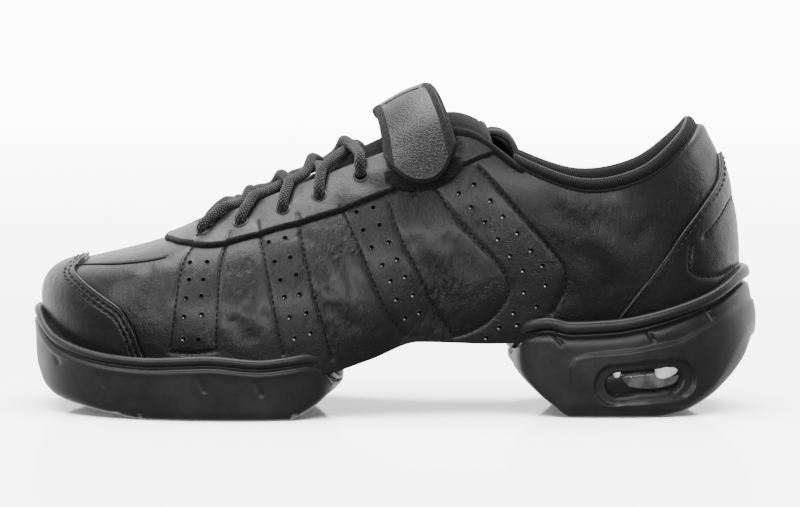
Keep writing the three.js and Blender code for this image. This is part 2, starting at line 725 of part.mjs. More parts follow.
// Instep strap: from the medial eyestay over the laces to the lateral tab
const STRAP_LATERAL = 0.595;
const STRAP_MEDIAL = 0.5675;
const TIP_ROUND = 0.19;
const PATCH_ROUND = 0.11;
const STRAP_SPAN = STRAP_WIDTH / (LENGTH * 0.775);
const STRAP_OVER = GAP + OVERLAY + GAP + STRAP_PATCH_THICK + GAP;
function strapPoint(q, j, out) {
  const tl = STRAP_LATERAL + (q - 0.5) * STRAP_SPAN;
  const tm = STRAP_MEDIAL + (q - 0.5) * STRAP_SPAN * 0.955;
  const tip = 0.712 + TIP_ROUND * Math.abs(2 * q - 1) ** 2.1;
  const [down, leave, foot] = [0.2, 0.93, 0.78];
  if (j < down) return lifted(tl, tip + ((leave - tip) * j) / down, out);
  if (j > 1 - down) return lifted(2 - tm, foot + ((leave - foot) * (1 - j)) / down, out);
  return bridge(tl, (j - down) / (1 - 2 * down), out, leave, 1, tm);
}
const strap = patch(
  6,
  16,
  (i, j) => strapPoint(i, j, STRAP_OVER + STRAP_THICK),
  (i, j) => strapPoint(i, j, STRAP_OVER),
);
const loopSpot = (i, j, out) =>
  lifted(0.535 + 0.118 * i, 0.684 + (0.16 - PATCH_ROUND * Math.abs(2 * i - 1) ** 2.6) * j
    + PATCH_ROUND * Math.abs(2 * i - 1) ** 2.6, out);
const loopPatch = patch(
  6,
  4,
  (i, j) => loopSpot(i, j, GAP + OVERLAY + GAP + STRAP_PATCH_THICK),
  (i, j) => loopSpot(i, j, -SUNK),
).subtract(clear).subtract(eyestayRoom);

// Laces: a front bar and four crossings between five pairs of eyelets
const HOLES = [
  { t: 0.203, v: 0.843 },
  { t: 0.29, v: 0.816 },
  { t: 0.368, v: 0.82 },
  { t: 0.43, v: 0.842 },
  { t: 0.498, v: 0.886 },
];
function tube(path, radius) {
  const section = new THREE.Shape(
    Array.from({ length: LACE_SIDES }, (_, k) => {
      const a = (k / LACE_SIDES) * 2 * Math.PI;
      return new THREE.Vector2(radius * Math.cos(a), radius * Math.sin(a));
    }),
  );
  const extrudePath = new THREE.CatmullRomCurve3(path.map((p) => new THREE.Vector3(...p)));
  return solidOf(new THREE.ExtrudeGeometry(section, { steps: LACE_STEPS, bevelEnabled: false, extrudePath }));
}
const LACE_OVER = OVERLAY + GAP * 2.33 + LACE_RADIUS;
const LACE_LOW = LACE_RADIUS + GAP * 2.33 - TONGUE_GAP;
function crossing(start, end, dip, flip) {
  const near = (t) => (flip ? 2 - t : t);
  const path = [0, 0.5].map((k) => lifted(near(start.t), start.v + (1 - start.v) * k, LACE_OVER));
  for (let k = 0; k <= 6; k += 1) {
    const f = k / 6;
    const out = LACE_OVER + (dip - LACE_OVER) * Math.sin(Math.PI * f) ** 0.9;
    path.push(bridge(start.t + (end.t - start.t) * f, flip ? 1 - f : f, out));
  }
  if (start === end) path.push(lifted(near(2 - end.t), end.v, LACE_OVER));
  return tube(path, LACE_RADIUS);
}
function laces() {
  let made = crossing(HOLES[0], HOLES[0], LACE_LOW + LACE_RADIUS, false);
  for (let k = 0; k + 1 < HOLES.length; k += 1) {
    const [a, b] = [HOLES[k], HOLES[k + 1]];
    made = made.add(crossing(a, b, LACE_LOW, k % 2 === 0));
    made = made.add(crossing(a, b, LACE_LOW + 1.9 * LACE_RADIUS, k % 2 === 1));
  }
  return made;
}

// Loop at the top of the tongue
function tongueLoop() {
  const [a, b] = [tonguePoint(1, 0.5, -TONGUE_GAP), edge(0.74)];
  const wide = BALL_WIDTH * 0.09;
  const point = (i, j, out) => {
    const w = Math.PI * (0.06 + 0.9 * i);
    const r = [(b[0] - a[0]) * 0.42 + out, INSTEP_HEIGHT * 0.05 + out];
    const x = a[0] + (b[0] - a[0]) * 0.5 - r[0] * Math.cos(w);
    const z = a[2] - INSTEP_HEIGHT * 0.0718 + r[1] * Math.sin(w) - i * INSTEP_HEIGHT * 0.05;
    return [x, wide * (2 * j - 1), z];
  };
  return patch(10, 1, (i, j) => point(i, j, LOOP_THICK), (i, j) => point(i, j, 0));
}

// The finished pieces
const shade = (color, roughness) => ({ color, roughness, metalness: 0 });
const LEATHER = shade(0x161616, 0.42);
const RUBBER = shade(0x101010, 0.62);
const KNIT = shade(0x2c2c2c, 0.95);
const CLEAR = { ...shade(0xd8dcdc, 0.08), transparent: true, opacity: 0.45 };
const shoe = new THREE.Group();
shoe.name = "dance_sneaker";

function piece(name, solid, look) {
  const m = solid.getMesh();
  const n = m.numProp;
  const spots = new Float32Array(m.numVert * 3);
  for (let i = 0; i < m.numVert; i += 1) {
    spots.set(m.vertProperties.subarray(i * n, i * n + 3), i * 3);
  }
  const shape = new THREE.BufferGeometry();
  shape.setAttribute("position", new THREE.BufferAttribute(spots, 3));
  shape.setIndex(new THREE.BufferAttribute(m.triVerts, 1));
  const merged = mergeVertices(shape, 1e-4);
  merged.computeVertexNormals();
  const mesh = new THREE.Mesh(merged, new THREE.MeshStandardMaterial(look));
  mesh.name = name;
  shoe.add(mesh);
}

piece("upper", upper(), LEATHER);
piece("outsole_forefoot", foreSole(), RUBBER);
piece("outsole_heel", heelSole(), RUBBER);
piece("window_lateral", pane(-BALL_WIDTH, 0), CLEAR);
piece("window_medial", pane(0, BALL_WIDTH), CLEAR);
piece("insole", insole(), shade(0x3a3a3a, 0.9));
piece("tongue", tongue, KNIT);
piece("toe_guard", guard, LEATHER);
piece("heel_counter", counter, LEATHER);
piece("eyestay", eyestay, LEATHER);
piece("collar_lining", collarLining, KNIT);
piece("strap_patch", loopPatch, KNIT);
piece("instep_strap", strap, LEATHER);
piece("laces", laces(), shade(0x242424, 0.9));
piece("tongue_loop", tongueLoop(), KNIT);

export default shoe;
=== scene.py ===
"""Looks of a left black leather dance sneaker: split sole, laces, instep strap."""

import math

import bpy
import mathutils
import numpy as np
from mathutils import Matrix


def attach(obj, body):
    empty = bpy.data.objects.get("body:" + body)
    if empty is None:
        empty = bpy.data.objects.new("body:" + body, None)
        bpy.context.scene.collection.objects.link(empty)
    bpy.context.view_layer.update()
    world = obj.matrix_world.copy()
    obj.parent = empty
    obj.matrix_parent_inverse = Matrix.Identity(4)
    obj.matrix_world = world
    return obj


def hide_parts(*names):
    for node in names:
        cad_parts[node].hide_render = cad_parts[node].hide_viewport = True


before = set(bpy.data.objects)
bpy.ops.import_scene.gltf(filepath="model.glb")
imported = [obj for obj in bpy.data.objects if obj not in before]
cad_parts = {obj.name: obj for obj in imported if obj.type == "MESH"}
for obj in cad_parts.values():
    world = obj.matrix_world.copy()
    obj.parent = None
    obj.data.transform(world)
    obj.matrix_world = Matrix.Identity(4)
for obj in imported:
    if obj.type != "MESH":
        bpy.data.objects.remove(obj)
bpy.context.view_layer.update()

# Sizes in millimetres, as in the solid model
MM = 0.001
LENGTH = 270.0
BALL_WIDTH = 96.0
INSTEP_HEIGHT = 104.0
HEEL_SEAT = 32.0
WALL = 2.0
GAP = 0.3
OVERLAY = 1.3
TONGUE_THICK = 4.0
STRAP_THICK = 3.0
STRAP_PATCH_THICK = 1.3
LACE_RADIUS = 1.65
RIM_BAND = 6.4
WINDOW_LONG = 37.0
WINDOW_HIGH = 14.6
HEEL_RAKE = 4.0

# Camera: level with the shoe's lateral side, a little above it
CAMERA_AIM = (1.9, 0.0, 57.0)
CAMERA_AWAY = 1500.0
CAMERA_RISE = math.radians(5.0)
VIEW_WIDE = 298.0
PHOTO_SCALE = 2.685
PHOTO_MIDDLE_X = 395.0
PHOTO_FLOOR_Y = 407.0
PHOTO_DEPTH = 0.234


def camera():
    data = bpy.data.cameras.new("camera")
    data.sensor_width = 36.0
    data.lens = data.sensor_width * CAMERA_AWAY / VIEW_WIDE
    eye = bpy.data.objects.new("camera", data)
    back = CAMERA_AWAY * math.cos(CAMERA_RISE)
    up = CAMERA_AWAY * math.sin(CAMERA_RISE)
    eye.location = (CAMERA_AIM[0] * MM, (CAMERA_AIM[1] - back) * MM, (CAMERA_AIM[2] + up) * MM)
    eye.rotation_euler = (math.pi / 2 - CAMERA_RISE, 0, 0)
    data.clip_start = 0.05
    data.clip_end = 20
    bpy.context.collection.objects.link(eye)
    bpy.context.scene.camera = eye


camera()

# Shares of the length, ball width, instep height and heel seat, one row per section
FEATHER = [
    # t, along, lateral, medial, seat
    (0, -0.474, 0.094, 0.094, 0.82),
    (0.08, -0.456, -0.115, 0.27, 0.77),
    (0.16, -0.404, -0.275, 0.375, 0.64),
    (0.25, -0.319, -0.39, 0.432, 0.51),
    (0.35, -0.215, -0.443, 0.438, 0.46),
    (0.45, -0.104, -0.425, 0.385, 0.5),
    (0.51, -0.037, -0.385, 0.325, 0.66),
    (0.57, 0.033, -0.345, 0.275, 0.86),
    (0.65, 0.126, -0.315, 0.25, 0.83),
    (0.75, 0.248, -0.307, 0.275, 0.88),
    (0.85, 0.363, -0.29, 0.285, 0.94),
    (0.93, 0.436, -0.2, 0.205, 0.98),
    (1, 0.467, 0, 0, 1),
]
EDGE = [
    # t, along, lateral, medial, high
    (0, -0.27, 0, 0, 0.654),
    (0.08, -0.265, -0.08, 0.08, 0.66),
    (0.16, -0.246, -0.13, 0.13, 0.678),
    (0.25, -0.209, -0.152, 0.148, 0.714),
    (0.35, -0.15, -0.163, 0.156, 0.775),
    (0.45, -0.08, -0.178, 0.168, 0.85),
    (0.55, -0.002, -0.193, 0.18, 0.932),
    (0.62, 0.054, -0.21, 0.196, 0.985),
    (0.68, 0.107, -0.245, 0.225, 0.98),
    (0.75, 0.178, -0.315, 0.275, 0.86),
    (0.82, 0.259, -0.35, 0.3, 0.79),
    (0.89, 0.339, -0.3, 0.27, 0.83),
    (0.95, 0.395, -0.175, 0.165, 0.94),
    (1, 0.415, 0, 0, 1.005),
]
SWELL = [
    # t, rise, lean, reach, drop
    (0, 0.37, 0.115, 0.42, 0.2),
    (0.16, 0.35, 0.09, 0.28, 0.15),
    (0.25, 0.32, 0.07, 0.22, 0.1),
    (0.35, 0.3, 0.06, 0.19, 0.1),
    (0.45, 0.3, 0.05, 0.16, 0.12),
    (0.57, 0.3, 0.05, 0.13, 0.15),
    (0.68, 0.26, 0.05, 0.1, 0.16),
    (0.8, 0.22, 0.05, 0.03, 0.16),
    (0.9, 0.22, 0.045, 0.05, 0.13),
    (1, 0.29, 0.03, 0.11, 0.03),
]
FORE_PLAN = [
    # t, along, lateral, medial
    (0, -0.5, 0.094, 0.094),
    (0.08, -0.481, -0.155, 0.32),
    (0.17, -0.426, -0.33, 0.435),
    (0.28, -0.337, -0.452, 0.492),
    (0.4, -0.245, -0.497, 0.503),
    (0.54, -0.163, -0.49, 0.46),
    (0.68, -0.108, -0.445, 0.39),
    (0.8, -0.082, -0.365, 0.3),
    (0.9, -0.072, -0.21, 0.15),
    (1, -0.071, -0.03, -0.03),
]
HEEL_PLAN = [
    # t, along, lateral, medial
    (0, 0.152, -0.03, -0.03),
    (0.07, 0.155, -0.17, 0.11),
    (0.16, 0.17, -0.32, 0.255),
    (0.28, 0.215, -0.375, 0.315),
    (0.44, 0.29, -0.39, 0.35),
    (0.6, 0.365, -0.375, 0.355),
    (0.76, 0.435, -0.305, 0.3),
    (0.89, 0.484, -0.17, 0.17),
    (1, 0.5035, 0, 0),
]
FORE_EDGES = [
    # along, top, bottom
    (-0.5, 1.17, 0.42),
    (-0.485, 1.03, 0.27),
    (-0.468, 0.91, 0.19),
    (-0.428, 0.79, 0.11),
    (-0.383, 0.73, 0.045),
    (-0.335, 0.71, 0),
    (-0.25, 0.74, 0),
    (-0.18, 0.695, 0),
    (-0.142, 0.725, 0),
    (-0.118, 0.75, 0.08),
    (-0.097, 0.72, 0.18),
    (-0.083, 0.56, 0.28),
    (-0.071, 0.43, 0.33),
]
HEEL_EDGES = [
    # along, top, bottom
    (0.152, 0.84, 0.58),
    (0.16, 0.97, 0.5),
    (0.178, 1.1, 0.36),
    (0.207, 1.145, 0.16),
    (0.236, 1.1, 0),
    (0.296, 1.125, 0),
    (0.356, 1.22, 0),
    (0.386, 1.29, 0.04),
    (0.432, 1.42, 0.21),
    (0.461, 1.53, 0.4),
    (0.485, 1.63, 0.62),
    (0.5, 1.66, 0.84),
]


def along(rows, x, column, key=0):
    """Smooth value of a table's column at x, never past its rows."""
    k = np.array([r[key] for r in rows], float)
    y = np.array([r[column] for r in rows], float)
    h = np.diff(k)
    d = np.diff(y) / h
    m = np.zeros_like(y)
    both = d[:-1] * d[1:] > 0
    m[1:-1][both] = 2 * d[:-1][both] * d[1:][both] / (d[:-1][both] + d[1:][both])
    x = np.clip(x, k[0], k[-1])
    i = np.clip(np.searchsorted(k, x, side="right") - 1, 0, len(k) - 2)
    f = (x - k[i]) / h[i]
    f2, f3 = f * f, f * f * f
    return (
        (2 * f3 - 3 * f2 + 1) * y[i]
        + (f3 - 2 * f2 + f) * h[i] * m[i]
        + (3 * f2 - 2 * f3) * y[i + 1]
        + (f3 - f2) * h[i] * m[i + 1]
    )


def ring_of(rows, height):
    """A smooth closed run through the rows: s 0 to 1 is lateral, 1 to 2 comes back medially."""
    lateral = [(r[0], r[1] * LENGTH, r[2] * BALL_WIDTH, height(r)) for r in rows]
    medial = [(2 - r[0], r[1] * LENGTH, r[3] * BALL_WIDTH, height(r)) for r in rows[-2:0:-1]]
    k = np.array(lateral + medial, float)
    turn = np.array([2.0, 0, 0, 0])
    k = np.vstack([k[-2:] - turn, k, k[:3] + turn])

    def at(s):
        w = np.mod(np.asarray(s, float), 2)
        i = np.searchsorted(k[:, 0], w, side="right") - 1
        h = (k[i + 1, 0] - k[i, 0])[..., None]
        f = (w - k[i, 0])[..., None] / h
        m0 = (k[i + 1, 1:] - k[i - 1, 1:]) / (k[i + 1, 0] - k[i - 1, 0])[..., None] * h
        m1 = (k[i + 2, 1:] - k[i, 1:]) / (k[i + 2, 0] - k[i, 0])[..., None] * h
        f2, f3 = f * f, f * f * f
        a = (2 * f3 - 3 * f2 + 1) * k[i, 1:] + (f3 - 2 * f2 + f) * m0
        return a + (3 * f2 - 2 * f3) * k[i + 1, 1:] + (f3 - f2) * m1

    return at


def seat_at(x):
    return along(FEATHER, np.asarray(x) / LENGTH, 4, key=1) * HEEL_SEAT


feather_plan = ring_of(FEATHER, lambda r: 0)
edge = ring_of(EDGE, lambda r: r[4] * INSTEP_HEIGHT)


def feather(s):
    p = feather_plan(s)
    p[..., 2] = seat_at(p[..., 0])
    return p


def fold(s):
    w = np.mod(s, 2)
    return np.where(w > 1, 2 - w, w)


def unit(v):
    return v / np.maximum(np.linalg.norm(v, axis=-1, keepdims=True), 1e-9)


def out_of(ring, s):
    """Unit vector that points out of a ring in plan."""
    d = ring(np.asarray(s) + 0.004) - ring(np.asarray(s) - 0.004)
    return unit(np.stack([d[..., 1], -d[..., 0], np.zeros_like(d[..., 0])], -1))


def skin(s, v):
    """Outer surface of the upper: s runs round the shoe, v from the feather line to the opening."""
    s, v = np.broadcast_arrays(np.asarray(s, float), np.asarray(v, float))
    a, d = feather(s), edge(s)
    t = fold(s)
    foot, top = out_of(feather_plan, s), out_of(edge, s)
    away = (a - d) * [1, 1, 0]
    mix = unit(top + unit(away))
    up = np.array([0, 0, 1.0])
    rise = (along(SWELL, t, 1) * INSTEP_HEIGHT)[..., None]
    lean = (along(SWELL, t, 2) * BALL_WIDTH)[..., None]
    reach = (along(SWELL, t, 3) * BALL_WIDTH)[..., None]
    drop = (along(SWELL, t, 4) * INSTEP_HEIGHT)[..., None]
    b = a + foot * lean + up * rise
    c = d + mix * reach - up * drop
    v = v[..., None]
    u = 1 - v
    return u**3 * a + 3 * u * u * v * b + 3 * u * v * v * c + v**3 * d


def normal(s, v):
    s, v = np.broadcast_arrays(np.asarray(s, float), np.asarray(v, float))
    v0 = np.clip(v - 0.01, 0, 0.98)
    p = skin(s + 0.004, v) - skin(s - 0.004, v)
    q = skin(s, v0 + 0.02) - skin(s, v0)
    return unit(np.cross(p, q))


def lifted(s, v, out):
    out = np.asarray(out, float)
    return skin(s, v) + normal(s, v) * out[..., None]


def to_photo(p):
    """Place in the photograph, in pixels, of points in millimetres."""
    x = PHOTO_MIDDLE_X + PHOTO_SCALE * p[..., 0]
    y = PHOTO_FLOOR_Y - PHOTO_DEPTH * p[..., 1] - PHOTO_SCALE * p[..., 2]
    return np.stack([x, y], -1)


# Where each pixel of the lateral side lies on the upper
LOOK_S, LOOK_V = np.meshgrid(np.linspace(0, 1, 401), np.linspace(0, 1, 201), indexing="ij")
LOOK = to_photo(skin(LOOK_S, LOOK_V))


def on_upper(px, py):
    """The s and v of a pixel on the lateral side of the upper."""
    d = np.hypot(LOOK[..., 0] - px, LOOK[..., 1] - py)
    i = np.unravel_index(np.argmin(d), d.shape)
    s, v = LOOK_S[i], LOOK_V[i]
    for _ in range(4):
        here = to_photo(skin(s, v))
        ds = (to_photo(skin(s + 1e-3, v)) - here) / 1e-3
        dv = (to_photo(skin(s, v + 1e-3)) - here) / 1e-3
        miss = np.array([px, py]) - here
        step = np.linalg.lstsq(np.stack([ds, dv], -1), miss, rcond=None)[0]
        s = float(np.clip(s + np.clip(step[0], -0.01, 0.01), 0, 1))
        v = float(np.clip(v + np.clip(step[1], -0.02, 0.02), 0, 1))
    return s, v


def spread(points, count):
    """Points spaced evenly along a polyline of any dimension."""
    p = np.asarray(points, float)
    d = np.concatenate([[0], np.cumsum(np.linalg.norm(np.diff(p, axis=0), axis=1))])
    at = np.linspace(0, d[-1], count)
    return np.stack([np.interp(at, d, p[:, k]) for k in range(p.shape[1])], -1)


def smooth_line(points, count):
    """A smooth curve through a few points, with evenly spaced points on it."""
    p = np.asarray(points, float)
    if len(p) < 3:
        return spread(p, count)
    ends = np.vstack([2 * p[0] - p[1], p, 2 * p[-1] - p[-2]])
    out = []
    for i in range(1, len(ends) - 2):
        f = np.linspace(0, 1, 24, endpoint=False)[:, None]
        a, b, c, d = ends[i - 1 : i + 3]
        out.append(
            0.5 * (2 * b + (c - a) * f + (2 * a - 5 * b + 4 * c - d) * f**2
                   + (3 * b - a - 3 * c + d) * f**3)
        )
    return spread(np.vstack(out + [p[-1:]]), count)


def step(x, a, b):
    f = np.clip((np.asarray(x, float) - a) / (b - a), 0, 1)
    return f * f * (3 - 2 * f)


# Meshes


def grid_faces(n, m, around=False, closed=False, start=0, flip=False):
    """Faces of n rows by m points; around joins the last row to the first, closed each row's ends."""
    i, j = np.meshgrid(np.arange(n if around else n - 1), np.arange(m if closed else m - 1),
                       indexing="ij")
    a = i * m + j
    b = (i + 1) % n * m + j
    c = (i + 1) % n * m + (j + 1) % m
    d = i * m + (j + 1) % m
    faces = np.stack([a, b, c, d], -1).reshape(-1, 4) + start
    return faces[:, ::-1] if flip else faces


def piece(name, points, faces, look, slot, uv=None, shade=True):
    """A piece of the shoe from points in millimetres."""
    mesh = bpy.data.meshes.new(name)
    mesh.from_pydata((np.asarray(points).reshape(-1, 3) * MM).tolist(), [], np.asarray(faces).tolist())
    if uv is not None:
        layer = mesh.uv_layers.new(name="run")
        index = np.empty(len(mesh.loops), dtype=np.int32)
        mesh.loops.foreach_get("vertex_index", index)
        layer.data.foreach_set("uv", np.asarray(uv, float).reshape(-1, 2)[index].ravel())
    mesh.polygons.foreach_set("use_smooth", [shade] * len(mesh.polygons))
    mesh.materials.append(look)
    mesh.update()
    made = bpy.data.objects.new(name, mesh)
    bpy.context.collection.objects.link(made)
    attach(made, "root")
    return made


def mark(made, values):
    """Stores how finely wrinkled each point of a piece is, for its leather to read."""
    layer = made.data.attributes.new("creased", "FLOAT", "POINT")
    layer.data.foreach_set("value", np.asarray(values, float).ravel())


def joined(name, parts, look, slot, shade=True):
    """One piece from several (points, faces, uv) sets."""
    points, faces, uvs, start = [], [], [], 0
    for p, f, uv in parts:
        p = np.asarray(p).reshape(-1, 3)
        points.append(p)
        faces.append(np.asarray(f) + start)
        uvs.append(np.asarray(uv).reshape(-1, 2) if uv is not None else p[:, :2])
        start += len(p)
    return piece(name, np.vstack(points), np.vstack(faces), look, slot, np.vstack(uvs), shade)


def length_uv(points, around=False):
    """Lengths in millimetres along both directions of a grid of points."""
    a = np.linalg.norm(np.diff(points, axis=0), axis=-1)
    b = np.linalg.norm(np.diff(points, axis=1), axis=-1)
    u = np.vstack([np.zeros((1, points.shape[1])), np.cumsum(a, 0)])
    v = np.hstack([np.zeros((points.shape[0], 1)), np.cumsum(b, 1)])
    middle = u[:, u.shape[1] // 2][:, None]
    return np.stack([np.broadcast_to(middle, v.shape), v], -1)


def distance(points, line):
    """Distance in millimetres from points to a polyline, and the share along it."""
    flat = points.reshape(-1, 3)
    best = np.full(len(flat), 1e9)
    share = np.zeros(len(flat))
    for k in range(len(line) - 1):
        a, d = line[k], line[k + 1] - line[k]
        f = np.clip(((flat - a) @ d) / max(float(d @ d), 1e-9), 0, 1)
        r = np.linalg.norm(flat - a - f[:, None] * d, axis=1)
        near = r < best
        best[near] = r[near]
        share[near] = (k + f[near]) / (len(line) - 1)
    return best.reshape(points.shape[:-1]), share.reshape(points.shape[:-1])


def traced(pixels, count=40):
    """The s and v of a smooth line drawn over the lateral side's pixels."""
    return smooth_line([on_upper(*p) for p in pixels], count)


# Creases of the leather: a soft trough with a ridge beside it, over three pixels of the photograph
CREASES = [
    # px, py, px, py, px, py, wide, deep
    (232, 262, 240, 283, 236, 306, 3.0, 0.42),
    (246, 256, 253, 285, 250, 318, 3.4, 0.5),
    (258, 268, 262, 296, 270, 330, 2.6, 0.34),
    (236, 312, 246, 330, 262, 344, 3.2, 0.36),
    (316, 246, 330, 270, 338, 300, 3.6, 0.5),
    (330, 236, 346, 266, 358, 300, 3.0, 0.42),
    (326, 300, 344, 318, 366, 330, 3.0, 0.34),
    (300, 232, 312, 240, 326, 238, 2.6, 0.26),
    (405, 236, 432, 268, 452, 282, 4.4, 0.4),
    (420, 254, 436, 282, 446, 306, 3.2, 0.34),
    (440, 232, 462, 262, 480, 284, 4.0, 0.3),
    (120, 282, 142, 300, 170, 318, 5.0, 0.26),
    (150, 262, 162, 290, 166, 330, 3.6, 0.24),
    (560, 236, 590, 262, 612, 296, 5.0, 0.3),
    (586, 214, 622, 236, 650, 246, 5.5, 0.34),
    (540, 206, 566, 222, 590, 232, 4.0, 0.26),
    (350, 186, 380, 190, 404, 188, 3.4, 0.24),
]
CREASE_LINES = [
    (skin(*traced([(c[0], c[1]), (c[2], c[3]), (c[4], c[5])], 14).T), c[6], c[7]) for c in CREASES
]


# Seams drawn over the lateral side of the photograph, and repeated on the medial side
STRIPE_1 = (
    [(204, 236), (195, 248), (188, 261), (183, 290), (179, 320), (176, 351)],
    [(233, 236), (228, 248), (225.4, 261), (223, 290), (221.5, 320), (221, 349)],
)
STRIPE_1_FOOT = [(176, 351), (198, 352), (221, 349)]
STRIPE_2 = (
    [(260, 226), (264, 242), (268.5, 261), (275, 293), (281, 325.7), (286.8, 352)],
    [(300, 218), (304, 238), (309, 262.7), (315, 288), (322, 314), (334, 357)],
)
STRIPE_3 = (
    [(343, 209), (354, 233), (366.4, 261), (381, 297), (391, 316), (405, 335)],
    [(388.8, 203), (398, 231), (412.8, 261), (426, 290), (436, 311), (453, 336)],
)
STRIPE_4 = (
    [(432.6, 186), (453, 216), (475, 241), (496.4, 264.6), (505.8, 283), (505.8, 294), (496, 311),
     (481, 325), (463.6, 333.4), (453, 336)],
    [(476.5, 168), (493, 187), (509, 205), (532, 232), (556.6, 262), (562.6, 276.6), (561, 290),
     (555, 302), (549, 313)],
)
HEEL_TAB = [(684, 248), (683, 262), (684, 270), (693, 275.5), (711, 276), (722, 271), (736, 266)]
COUNTER_LINE = [(727, 186), (723, 203), (713, 219), (697, 238)]
FAR_EDGE = traced([(76, 268), (84, 264.5), (100, 264), (118, 264), (135, 263), (152, 261), (170, 257)], 60)
SEAMS = [STRIPE_1_FOOT, *STRIPE_1, *STRIPE_2, *STRIPE_3, *STRIPE_4, HEEL_TAB, COUNTER_LINE]
SEAM_LINES = [traced(line, 36) for line in SEAMS]
SEAM_WIDE = 0.75
SEAM_DEEP = 0.5
PILLOW = 0.32

# Where the leather is finely wrinkled
WRINKLED = [
    # px, py, radius, amount
    (246, 285, 26, 1.0), (250, 325, 22, 0.7), (316, 280, 24, 1.0), (335, 312, 26, 1.0),
    (290, 285, 22, 0.7), (207, 290, 20, 0.6), (345, 250, 34, 0.95), (405, 205, 30, 1.0),
    (430, 335, 28, 0.9), (432, 280, 30, 0.9), (470, 205, 28, 0.9), (520, 215, 24, 0.5),
    (585, 220, 34, 0.5), (150, 300, 30, 0.45), (385, 260, 24, 0.6), (450, 250, 26, 0.5),
]


def crease_height(at):
    """Height of the creases at points of the lateral side, in millimetres."""
    off = np.zeros(at.shape[:-1])
    for line, wide, deep in CREASE_LINES:
        d, share = distance(at, line)
        ends = step(share, 0, 0.25) * (1 - step(share, 0.75, 1))
        off += deep * ends * (0.45 * np.exp(-(((d - 1.5 * wide) / wide) ** 2)) - np.exp(-((d / wide) ** 2)))
    seam = np.full(off.shape, 1e9)
    for line in SEAM_LINES + [FAR_EDGE]:
        seam = np.minimum(seam, distance(at, skin(line[:, 0], line[:, 1]))[0])
    off += PILLOW * (1 - np.exp(-((seam / 4.5) ** 2))) - SEAM_DEEP * np.exp(-((seam / SEAM_WIDE) ** 2))
    x, z = at[..., 0], at[..., 2]
    wave = np.sin(0.11 * x + 0.05 * z) * np.sin(0.07 * z + 0.6) + 0.6 * np.sin(0.19 * x - 0.13 * z + 1.4)
    return off + 0.1 * wave


def wrinkle_amount(at):
    """How finely wrinkled the leather is at points of the lateral side, 0 to 1."""
    look, amount = to_photo(at), np.zeros(at.shape[:-1])
    for px, py, radius, most in WRINKLED:
        d = np.hypot(look[..., 0] - px, look[..., 1] - py) / radius
        amount = np.maximum(amount, most * np.exp(-(d**2)))
    return amount


MAP_ROUND, MAP_UP = 601, 241
MAP_S, MAP_V = np.meshgrid(np.linspace(0, 1, MAP_ROUND), np.linspace(0, 1, MAP_UP), indexing="ij")
MAP_AT = skin(MAP_S, MAP_V)
CREASE_MAP = crease_height(MAP_AT)
WRINKLE_MAP = wrinkle_amount(MAP_AT)


def from_map(values, s, v):
    """A map's value at s and v, the same on both sides of the shoe."""
    i = np.clip(fold(s), 0, 1) * (MAP_ROUND - 1)
    j = np.clip(v, 0, 1) * (MAP_UP - 1)
    a, b = np.minimum(i.astype(int), MAP_ROUND - 2), np.minimum(j.astype(int), MAP_UP - 2)
    f, g = i - a, j - b
    low = values[a, b] * (1 - f) + values[a + 1, b] * f
    high = values[a, b + 1] * (1 - f) + values[a + 1, b + 1] * f
    return low * (1 - g) + high * g


def relief(s, v):
    """How far the leather stands off the plain surface, in millimetres."""
    s, v = np.broadcast_arrays(np.asarray(s, float), np.asarray(v, float))
    return from_map(CREASE_MAP, s, v)


def hide(s, v, out=0.0):
    """A point of the leather, with its creases, lifted by out."""
    s, v = np.broadcast_arrays(np.asarray(s, float), np.asarray(v, float))
    return skin(s, v) + normal(s, v) * (relief(s, v) + out)[..., None]


def rim_of(n, m):
    """Numbers of the points round a grid's rim."""
    rim = ([(i, 0) for i in range(n)] + [(n - 1, j) for j in range(1, m)]
           + [(i, m - 1) for i in range(n - 2, -1, -1)] + [(0, j) for j in range(m - 2, 0, -1)])
    return np.array([i * m + j for i, j in rim])


def skirted(outer, inner, uv):
    """A patch whose rim runs down to the inner grid's rim, with an open back."""
    n, m = outer.shape[:2]
    rim = rim_of(n, m)
    low = n * m + np.arange(len(rim))
    strip = np.stack([np.roll(rim, -1), rim, low, np.roll(low, -1)], -1)
    points = np.concatenate([outer.reshape(-1, 3), inner.reshape(-1, 3)[rim]])
    uvs = np.concatenate([uv.reshape(-1, 2), uv.reshape(-1, 2)[rim]])
    return points, np.vstack([grid_faces(n, m), strip]), uvs


def slab(outer, inner, uv):
    """Outer and inner faces of a patch, closed round its rim."""
    n, m = outer.shape[:2]
    rim = rim_of(n, m)
    strip = np.stack([np.roll(rim, -1), rim, rim + n * m, np.roll(rim, -1) + n * m], -1)
    faces = np.vstack([grid_faces(n, m), grid_faces(n, m, start=n * m, flip=True), strip])
    points = np.concatenate([outer.reshape(-1, 3), inner.reshape(-1, 3)])
    return points, faces, np.concatenate([uv.reshape(-1, 2), uv.reshape(-1, 2)])


EDGE_PULL = 1.1


def edge_share(outer):
    """Height share of a patch near its rim: a quarter round about 1 mm wide."""
    n, m = outer.shape[:2]
    u = np.linalg.norm(np.diff(outer, axis=0), axis=-1)
    w = np.linalg.norm(np.diff(outer, axis=1), axis=-1)
    down = np.vstack([np.zeros((1, m)), np.cumsum(u, 0)])
    over = np.hstack([np.zeros((n, 1)), np.cumsum(w, 1)])
    d = np.minimum(np.minimum(down, down[-1:] - down), np.minimum(over, over[:, -1:] - over))
    f = np.clip(1 - d / EDGE_PULL, 0, 1)
    return np.sqrt(1 - f * f)


def near_edges(count, tight=0.5):
    """Shares from 0 to 1 that crowd towards both ends."""
    f = np.linspace(0, 1, count)
    return (1 - tight) * f + tight * (0.5 - 0.5 * np.cos(np.pi * f))


